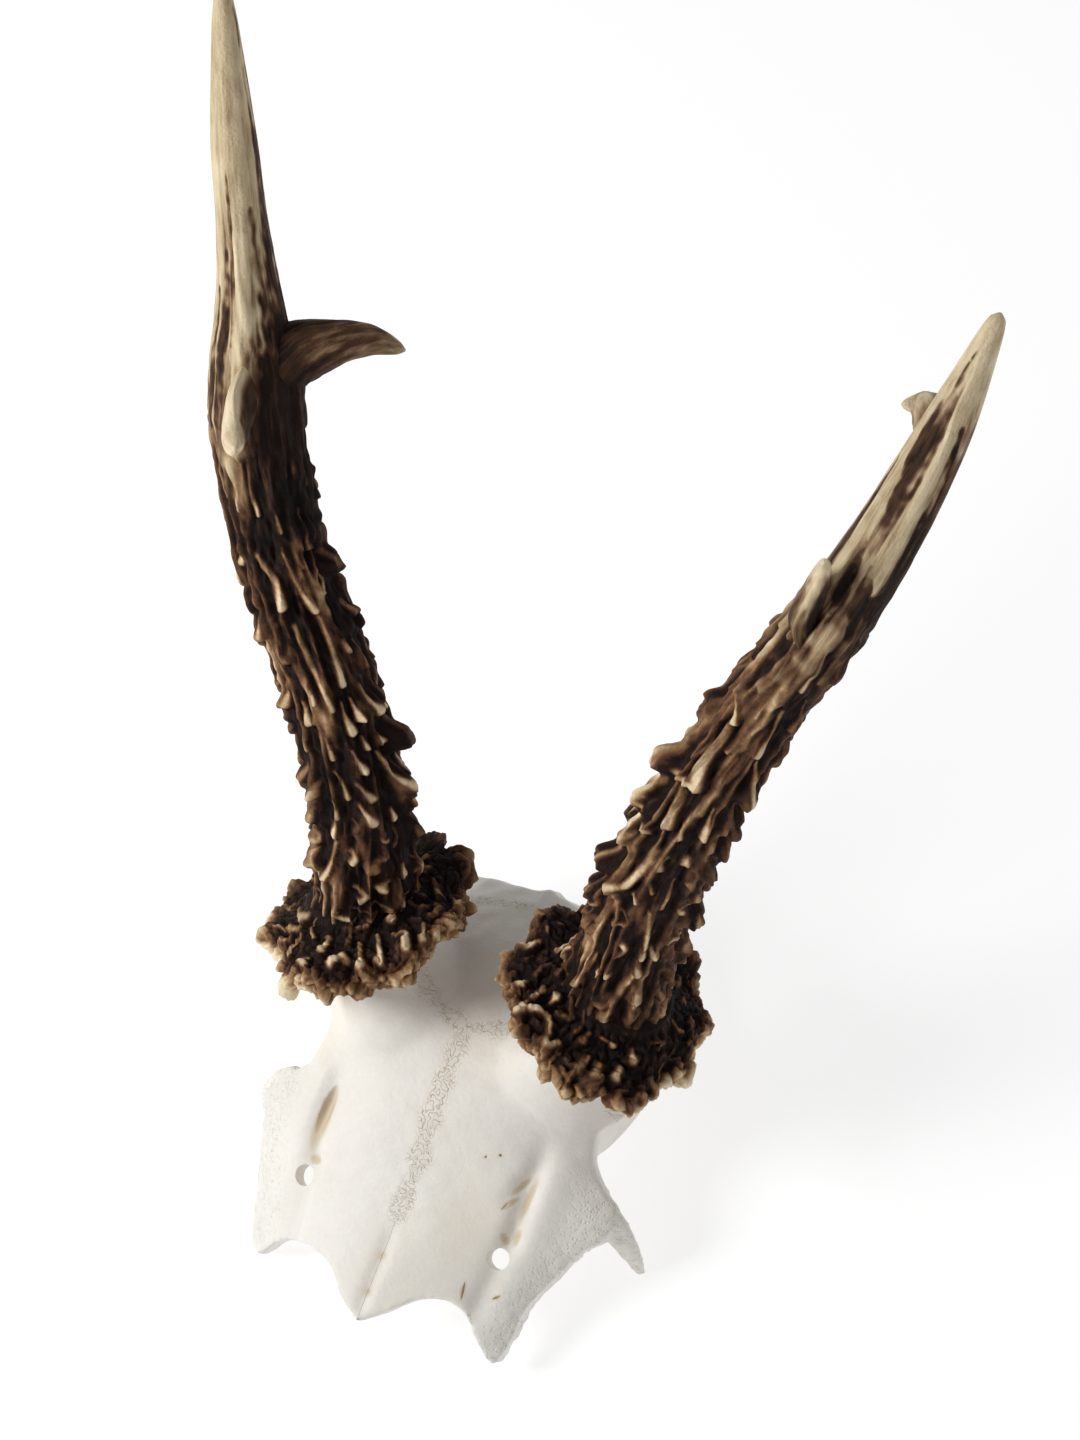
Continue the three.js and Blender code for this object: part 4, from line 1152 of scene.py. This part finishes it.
class Nodes:
    """Short way to place and link shader nodes."""

    def __init__(self, tree):
        self.tree = tree

    def add(self, kind, inputs=(), **settings):
        node = self.tree.nodes.new(kind)
        for key, value in settings.items():
            setattr(node, key, value)
        for key, value in dict(inputs).items():
            if isinstance(value, bpy.types.NodeSocket):
                self.tree.links.new(value, node.inputs[key])
            else:
                node.inputs[key].default_value = value
        return node

    def feed(self, node, sockets):
        for name, source in sockets.items():
            self.tree.links.new(source, node.inputs[name])

    def math(self, operation, a, b=0.0, clamp=False):
        return self.add("ShaderNodeMath", {0: a, 1: b}, operation=operation, use_clamp=clamp).outputs[0]

    def centred(self, value, weight):
        """Turns 0 to 1 into a swing round 0."""
        return self.math("MULTIPLY", self.math("SUBTRACT", value, 0.5), weight)

    def remap(self, value, low, high, first=0.0, last=1.0):
        """Turns low to high into first to last."""
        node = self.add("ShaderNodeMapRange", {"Value": value, "From Min": low, "From Max": high,
                                               "To Min": first, "To Max": last})
        return node.outputs[0]

    def noise(self, vector, scale, detail=2.0, roughness=0.5):
        node = self.add("ShaderNodeTexNoise", {"Vector": vector, "Scale": scale, "Detail": detail,
                                               "Roughness": roughness})
        return node.outputs[0]

    def layer(self, name, output="Fac"):
        """Reads what mark() has stored on the mesh."""
        return self.add("ShaderNodeAttribute", attribute_name=name).outputs[output]

    def mottle(self, vector, coarse, fine):
        return self.add("ShaderNodeGroup", {"Vector": vector, "Coarse": coarse, "Fine": fine},
                        node_tree=mottle_group())

    def bump(self, height, strength, distance, under=(), **settings):
        """Bump of a height up to a distance in metres; under is the bump that it lies on."""
        inputs = {"Strength": strength, "Distance": distance, "Height": height, **dict(under)}
        return self.add("ShaderNodeBump", inputs, **settings).outputs[0]

    def mix(self, factor, a, b):
        sockets = {0: factor}
        for key, colour in ((6, a), (7, b)):
            linked = isinstance(colour, bpy.types.NodeSocket)
            sockets[key] = colour if linked else (*colour[:3], 1)
        return self.add("ShaderNodeMix", sockets, data_type="RGBA").outputs[2]

    def ramp(self, factor, stops):
        node = self.add("ShaderNodeValToRGB", {0: factor})
        elements = node.color_ramp.elements
        while len(elements) < len(stops):
            elements.new(0.5)
        for element, (place_at, colour) in zip(elements, stops):
            element.position = place_at
            element.color = (*colour[:3], 1)
        return node.outputs[0]


def new_group(name, inputs, outputs):
    """Empty shader node group with named sockets; returns it with its two end nodes."""
    tree = bpy.data.node_groups.new(name, "ShaderNodeTree")
    for label, kind, default in inputs:
        socket = tree.interface.new_socket(name=label, in_out="INPUT", socket_type=kind)
        if default is not None:
            socket.default_value = default
    for label, kind in outputs:
        tree.interface.new_socket(name=label, in_out="OUTPUT", socket_type=kind)
    nodes = Nodes(tree)
    return tree, nodes, tree.nodes.new("NodeGroupInput"), tree.nodes.new("NodeGroupOutput")


def mottle_group():
    """Fine and coarse unevenness: a mask from 0 to 1 and a height for bump."""
    name = "Mottle"
    if name in bpy.data.node_groups:
        return bpy.data.node_groups[name]
    tree, nodes, start, end = new_group(
        name,
        [("Vector", "NodeSocketVector", None), ("Coarse", "NodeSocketFloat", 150.0),
         ("Fine", "NodeSocketFloat", 1200.0)],
        [("Mask", "NodeSocketFloat"), ("Height", "NodeSocketFloat")])
    vector, coarse_scale, fine_scale = (start.outputs[i] for i in range(3))
    coarse = nodes.noise(vector, coarse_scale, detail=4.0, roughness=0.6)
    fine = nodes.noise(vector, fine_scale, detail=5.0, roughness=0.65)
    both = nodes.math("ADD", nodes.math("MULTIPLY", coarse, 0.6), nodes.math("MULTIPLY", fine, 0.4))
    tree.links.new(both, end.inputs["Mask"])
    tree.links.new(fine, end.inputs["Height"])
    return tree


def new_material(name):
    material = bpy.data.materials.new(name)
    material.use_nodes = True
    nodes = Nodes(material.node_tree)
    shader = material.node_tree.nodes["Principled BSDF"]
    return material, nodes, shader


def antler_material(settings):
    """Antler: near-black grooves, brown flanks and cream pearls, paler horn towards the tips."""
    name = "Pearled antler"
    if name in bpy.data.materials:
        return bpy.data.materials[name]
    material, nodes, shader = new_material(name)
    place_at = nodes.add("ShaderNodeTexCoord").outputs["Object"]
    tone = nodes.layer("tone")
    mottle = nodes.mottle(place_at, coarse=260, fine=1500)
    long_grain = nodes.add("ShaderNodeMapping", {"Vector": nodes.layer("grain", "Vector"),
                                                 "Scale": (0.9, 0.9, 0.05)}).outputs[0]
    fibre = nodes.noise(long_grain, 1.0, detail=6.0, roughness=0.7)
    shade = nodes.math("ADD", tone, nodes.centred(mottle.outputs["Mask"], 0.55), clamp=True)
    pearled = nodes.ramp(shade, [
        (0.0, settings.groove_colour), (0.24, (0.022, 0.009, 0.005)), (0.48, settings.flank_colour),
        (0.66, (0.34, 0.195, 0.09)), (0.86, settings.pearl_colour), (1.0, (0.92, 0.79, 0.55))])
    horn_shade = nodes.math("ADD", tone, nodes.centred(fibre, 0.9), clamp=True)
    horn = nodes.ramp(horn_shade, [
        (0.0, (0.016, 0.008, 0.005)), (0.28, (0.09, 0.042, 0.021)), (0.5, (0.27, 0.175, 0.095)),
        (0.7, settings.horn_colour), (1.0, settings.tip_colour)])
    pitted = nodes.bump(mottle.outputs["Height"], 0.55, 0.0005)
    fibrous = nodes.bump(fibre, 0.35, 0.0004, {"Normal": pitted})
    nodes.feed(shader, {
        "Base Color": nodes.mix(nodes.layer("polish"), pearled, horn),
        "Roughness": nodes.remap(shade, 0.0, 1.0, 0.78, 0.36),
        "Normal": fibrous})
    shader.inputs["Specular IOR Level"].default_value = 0.15
    return material


def bone_material(settings):
    """Bleached bone with tan sutures, a rough rim and faint warm and grey patches."""
    name = "Bleached bone"
    if name in bpy.data.materials:
        return bpy.data.materials[name]
    material, nodes, shader = new_material(name)
    place_at = nodes.add("ShaderNodeTexCoord").outputs["Object"]
    mottle = nodes.mottle(place_at, coarse=60, fine=900)
    base = nodes.ramp(mottle.outputs["Mask"], [
        (0.3, settings.shade_colour), (0.6, settings.bone_colour)])
    patches = nodes.remap(nodes.noise(place_at, 38.0, detail=3.0), 0.52, 0.72, 0.0, 0.6)
    tinted = nodes.mix(patches, base, settings.warm_colour)
    wander = nodes.noise(place_at, 420.0, detail=1.0)
    bands = nodes.math("PINGPONG", nodes.math("MULTIPLY", wander, 7.0), 0.5)
    seam = nodes.math("MULTIPLY", nodes.layer("suture"), nodes.remap(bands, 0.02, 0.16, 1.0, 0.14))
    laced = nodes.math("MULTIPLY", seam, 0.62)
    stain = nodes.math("MAXIMUM", laced, nodes.math("MULTIPLY", nodes.layer("hollow"), 0.75))
    pores = nodes.add("ShaderNodeTexVoronoi", {"Vector": place_at, "Scale": 1300.0}, feature="F1")
    pore = nodes.math("SUBTRACT", nodes.remap(pores.outputs["Distance"], 0.0, 0.45), 1.0)
    mottled = nodes.bump(mottle.outputs["Height"], 0.4, 0.0003)
    porous = nodes.bump(nodes.math("MULTIPLY", pore, nodes.layer("rim")), 0.6, 0.0004,
                        {"Normal": mottled})
    nodes.feed(shader, {
        "Base Color": nodes.mix(stain, tinted, settings.suture_colour),
        "Normal": nodes.bump(laced, 0.55, 0.0004, {"Normal": porous}, invert=True)})
    shader.inputs["Roughness"].default_value = 0.5
    shader.inputs["Subsurface Weight"].default_value = 0.1
    shader.inputs["Subsurface Radius"].default_value = (1, 0.85, 0.7)
    shader.inputs["Subsurface Scale"].default_value = 0.002
    return material


def plain_material(name, colour, roughness, glow):
    """Stage material with a faint unevenness and a glow of its own."""
    material, nodes, shader = new_material(name)
    place_at = nodes.add("ShaderNodeTexCoord").outputs["Object"]
    pale = tuple(min(1.0, channel * 1.01) for channel in colour)
    nodes.feed(shader, {"Base Color": nodes.mix(nodes.noise(place_at, 6.0), colour, pale)})
    shader.inputs["Roughness"].default_value = roughness
    shader.inputs["Emission Color"].default_value = (1, 1, 1, 1)
    shader.inputs["Emission Strength"].default_value = glow
    return material


# ---- Settings ---------------------------------------------------------------------------


def colour_property(name, description, default):
    return bpy.props.FloatVectorProperty(name=name, description=description, subtype="COLOR",
                                         size=3, min=0.0, max=1.0, default=default)


class SKULL_PG_antler(bpy.types.PropertyGroup):
    groove_colour: colour_property("Groove", "Colour deep in the grooves", (0.006, 0.0035, 0.0025))
    flank_colour: colour_property("Flank", "Colour of the sides of ridges", (0.135, 0.06, 0.026))
    pearl_colour: colour_property("Pearl", "Colour of pearls and crests", (0.74, 0.57, 0.355))
    horn_colour: colour_property("Upper beam", "Colour of the smooth upper beam", (0.54, 0.425, 0.26))
    tip_colour: colour_property("Tip", "Colour of the polished tips", (0.82, 0.69, 0.465))


class SKULL_PG_bone(bpy.types.PropertyGroup):
    bone_colour: colour_property("Bone", "Colour of bleached bone", (0.86, 0.83, 0.77))
    shade_colour: colour_property("Shade", "Colour of its duller patches", (0.78, 0.75, 0.69))
    warm_colour: colour_property("Warm", "Colour of its warm patches", (0.86, 0.79, 0.68))
    suture_colour: colour_property("Suture", "Colour along the sutures", (0.58, 0.44, 0.26))


class SKULL_PG_stage(bpy.types.PropertyGroup):
    floor_colour: colour_property("Floor", "Colour of the floor", (0.4, 0.4, 0.4))
    floor_glow: bpy.props.FloatProperty(name="Floor glow", description="Light that the floor gives off",
                                        default=0.73, min=0.0)
    key_power: bpy.props.FloatProperty(name="Key light", description="Power of the soft key light",
                                       subtype="POWER", default=4.2, min=0.0)
    fill_power: bpy.props.FloatProperty(name="Fill light", description="Power of the fill light",
                                        subtype="POWER", default=0.15, min=0.0)


# ---- Operators --------------------------------------------------------------------------


class SKULL_OT_bones(bpy.types.Operator):
    """Build the bones of the skull cap"""
    bl_idname = "skull.bones"
    bl_label = "Bones"

    def execute(self, context):
        material = bone_material(context.scene.skull_bone)
        cap = cap_solid()
        weather_bone(cap)
        combine(cap, saw_block(), "DIFFERENCE")
        for centre in SCREW_HOLES.values():
            combine(cap, screw_hole(centre), "DIFFERENCE")
        for centre, size, turn, depth in PITS:
            combine(cap, pit(centre, size, math.radians(turn), depth), "DIFFERENCE")
        hand_bones(cap, suture_lines(), material)
        return {"FINISHED"}


def hand_bones(cap, lines, material):
    """Parts the cap along its sutures and hands each bone over."""
    far, fore, aft = 75, -20, 150
    deep, high = -90, 60

    def part_off(name, tools, node):
        bone = cap.copy()
        bone.data = cap.data.copy()
        bone.name = name
        bpy.context.scene.collection.objects.link(bone)
        for tool, operation in tools:
            combine(bone, tool, operation)
        stain_bone(bone, lines)
        hand_over(bone, material, [node])

    def shifted(line, across, back):
        return [(x + across, y + back) for x, y in line]

    def front_block(name):
        shift, edge = SIDES[name] * HAIR, SIDES[name] * far
        median = shifted(lines["median"], shift, 0)
        coronal = shifted(lines["coronal_" + name], 0, -HAIR)
        median[-1] = (shift, coronal[0][1])
        rest = [(edge, coronal[-1][1]), (edge, fore), (shift, fore)]
        return slab(median + coronal[1:] + rest, deep, high)

    def behind(suture, shift, lean=0):
        """Block behind a suture that crosses the head."""
        right = shifted(lines[suture + "_right"], 0, shift)[::-1]
        left = shifted(lines[suture + "_left"], 0, shift)[1:]
        ends = [(far, left[-1][1]), (far, aft), (-far, aft), (-far, right[0][1])]
        return slab(right + left + ends, deep, high, lean)

    def between(x0, x1, z0, z1):
        """Cuts for a bone between the coronal and the lambdoid suture."""
        block = slab([(x0, fore), (x1, fore), (x1, aft), (x0, aft)], z0, z1)
        return [(behind("coronal", HAIR), "INTERSECT"),
                (behind("lambdoid", -HAIR, REAR_LEAN), "DIFFERENCE"), (block, "INTERSECT")]

    for name in SIDES:
        part_off("bone_frontal_" + name, [(front_block(name), "INTERSECT")], "frontal_bone_" + name)
    part_off("bone_parietal", between(-far, far, SQUAMOSAL_DEPTH + HAIR, high), "parietal_bone")
    part_off("bone_occipital", [(behind("lambdoid", HAIR, REAR_LEAN), "INTERSECT")], "occipital_bone")
    for name, side in SIDES.items():
        x0, x1 = sorted((0, side * far))
        part_off("bone_temporal_" + name, between(x0, x1, deep, SQUAMOSAL_DEPTH - HAIR),
                 "temporal_bone_" + name)
    bpy.data.objects.remove(cap)


class SKULL_OT_burrs(bpy.types.Operator):
    """Build both coronets"""
    bl_idname = "skull.burrs"
    bl_label = "Burrs"

    def execute(self, context):
        material = antler_material(context.scene.skull_antler)
        for name in ANTLERS:
            burr(name, material)
        return {"FINISHED"}


class SKULL_OT_beams(bpy.types.Operator):
    """Build both pearled beams"""
    bl_idname = "skull.beams"
    bl_label = "Beams"

    def execute(self, context):
        material = antler_material(context.scene.skull_antler)
        for name in ANTLERS:
            beam(name, material)
        return {"FINISHED"}


class SKULL_OT_tines(bpy.types.Operator):
    """Build the front and rear tines"""
    bl_idname = "skull.tines"
    bl_label = "Tines"

    def execute(self, context):
        material = antler_material(context.scene.skull_antler)
        for name in ANTLERS:
            for which in ("front", "rear"):
                tine(name, which, material)
        return {"FINISHED"}


# Lights: where they stand, what they aim at and how wide they are, in metres.
KEY_LIGHT = ((-0.5, -0.32, 0.56), (0, -0.02, 0.08), 0.34)
FILL_LIGHT = ((0.6, -0.5, 0.5), (0, 0, 0.08), 0.6)
WORLD_LIGHT = 0.34

# Camera: where it stands, in metres, its angles and the length of its lens, in millimetres.
CAMERA_SPOT = (0.17058, -0.18677, 0.49833)
CAMERA_ELEVATION = math.radians(57.684)
CAMERA_AZIMUTH = math.radians(40.464)
CAMERA_ROLL = math.radians(-17.387)
CAMERA_LENS = 59.71


def area_light(name, spot, aim, size, power):
    data = bpy.data.lights.new(name, "AREA")
    data.shape = "DISK"
    data.size = size
    data.energy = power
    light = bpy.data.objects.new(name, data)
    light.location = spot
    light.rotation_euler = (Vector(aim) - Vector(spot)).to_track_quat("-Z", "Y").to_euler()
    bpy.context.scene.collection.objects.link(light)


class SKULL_OT_stage(bpy.types.Operator):
    """Set up the floor, the lights and the camera"""
    bl_idname = "skull.stage"
    bl_label = "Stage"

    def execute(self, context):
        settings = context.scene.skull_stage
        bm = bmesh.new()
        bmesh.ops.create_grid(bm, x_segments=8, y_segments=8, size=3)
        floor = as_object(bm, "floor")
        floor.data.materials.append(plain_material("Floor", settings.floor_colour, 0.8, settings.floor_glow))
        world = bpy.data.worlds.new("Studio")
        world.use_nodes = True
        background = world.node_tree.nodes["Background"]
        background.inputs["Color"].default_value = (1, 1, 1, 1)
        background.inputs["Strength"].default_value = WORLD_LIGHT
        context.scene.world = world
        context.scene.view_settings.view_transform = "Standard"
        area_light("Key", *KEY_LIGHT, settings.key_power)
        area_light("Fill", *FILL_LIGHT, settings.fill_power)
        back = Vector((math.sin(CAMERA_AZIMUTH) * math.cos(CAMERA_ELEVATION),
                       -math.cos(CAMERA_AZIMUTH) * math.cos(CAMERA_ELEVATION),
                       math.sin(CAMERA_ELEVATION)))
        right = Vector((math.cos(CAMERA_AZIMUTH), math.sin(CAMERA_AZIMUTH), 0))
        level = Matrix((right, back.cross(right), back)).transposed()
        camera = bpy.data.objects.new("Camera", bpy.data.cameras.new("Camera"))
        camera.data.sensor_fit = "VERTICAL"
        camera.data.sensor_height = 36
        camera.data.lens = CAMERA_LENS
        camera.data.clip_start = 0.01
        turn = level @ Matrix.Rotation(CAMERA_ROLL, 3, "Z")
        camera.matrix_world = Matrix.Translation(CAMERA_SPOT) @ turn.to_4x4()
        context.scene.collection.objects.link(camera)
        context.scene.camera = camera
        return {"FINISHED"}


class SKULL_PT_panel(bpy.types.Panel):
    bl_label = "Skull Cap"
    bl_idname = "SKULL_PT_panel"
    bl_space_type = "VIEW_3D"
    bl_region_type = "UI"
    bl_category = "Skull Cap"

    def draw(self, context):
        for group in ("skull_bone", "skull_antler", "skull_stage"):
            settings = getattr(context.scene, group)
            box = self.layout.box()
            for name in settings.bl_rna.properties.keys():
                if name not in ("rna_type", "name"):
                    box.prop(settings, name)
        for operator in OPERATORS:
            self.layout.operator(operator.bl_idname)


GROUPS = {"skull_antler": SKULL_PG_antler, "skull_bone": SKULL_PG_bone, "skull_stage": SKULL_PG_stage}
OPERATORS = (SKULL_OT_stage, SKULL_OT_bones, SKULL_OT_burrs, SKULL_OT_beams, SKULL_OT_tines)


def register():
    for cls in (*GROUPS.values(), *OPERATORS, SKULL_PT_panel):
        bpy.utils.register_class(cls)
    for name, group in GROUPS.items():
        setattr(bpy.types.Scene, name, bpy.props.PointerProperty(type=group))


def unregister():
    for name in GROUPS:
        delattr(bpy.types.Scene, name)
    for cls in (SKULL_PT_panel, *reversed(OPERATORS), *reversed(GROUPS.values())):
        bpy.utils.unregister_class(cls)


def main():
    register()
    bpy.ops.skull.stage()
    bpy.ops.skull.bones()
    bpy.ops.skull.burrs()
    bpy.ops.skull.beams()
    bpy.ops.skull.tines()


if __name__ == "__main__":
    main()
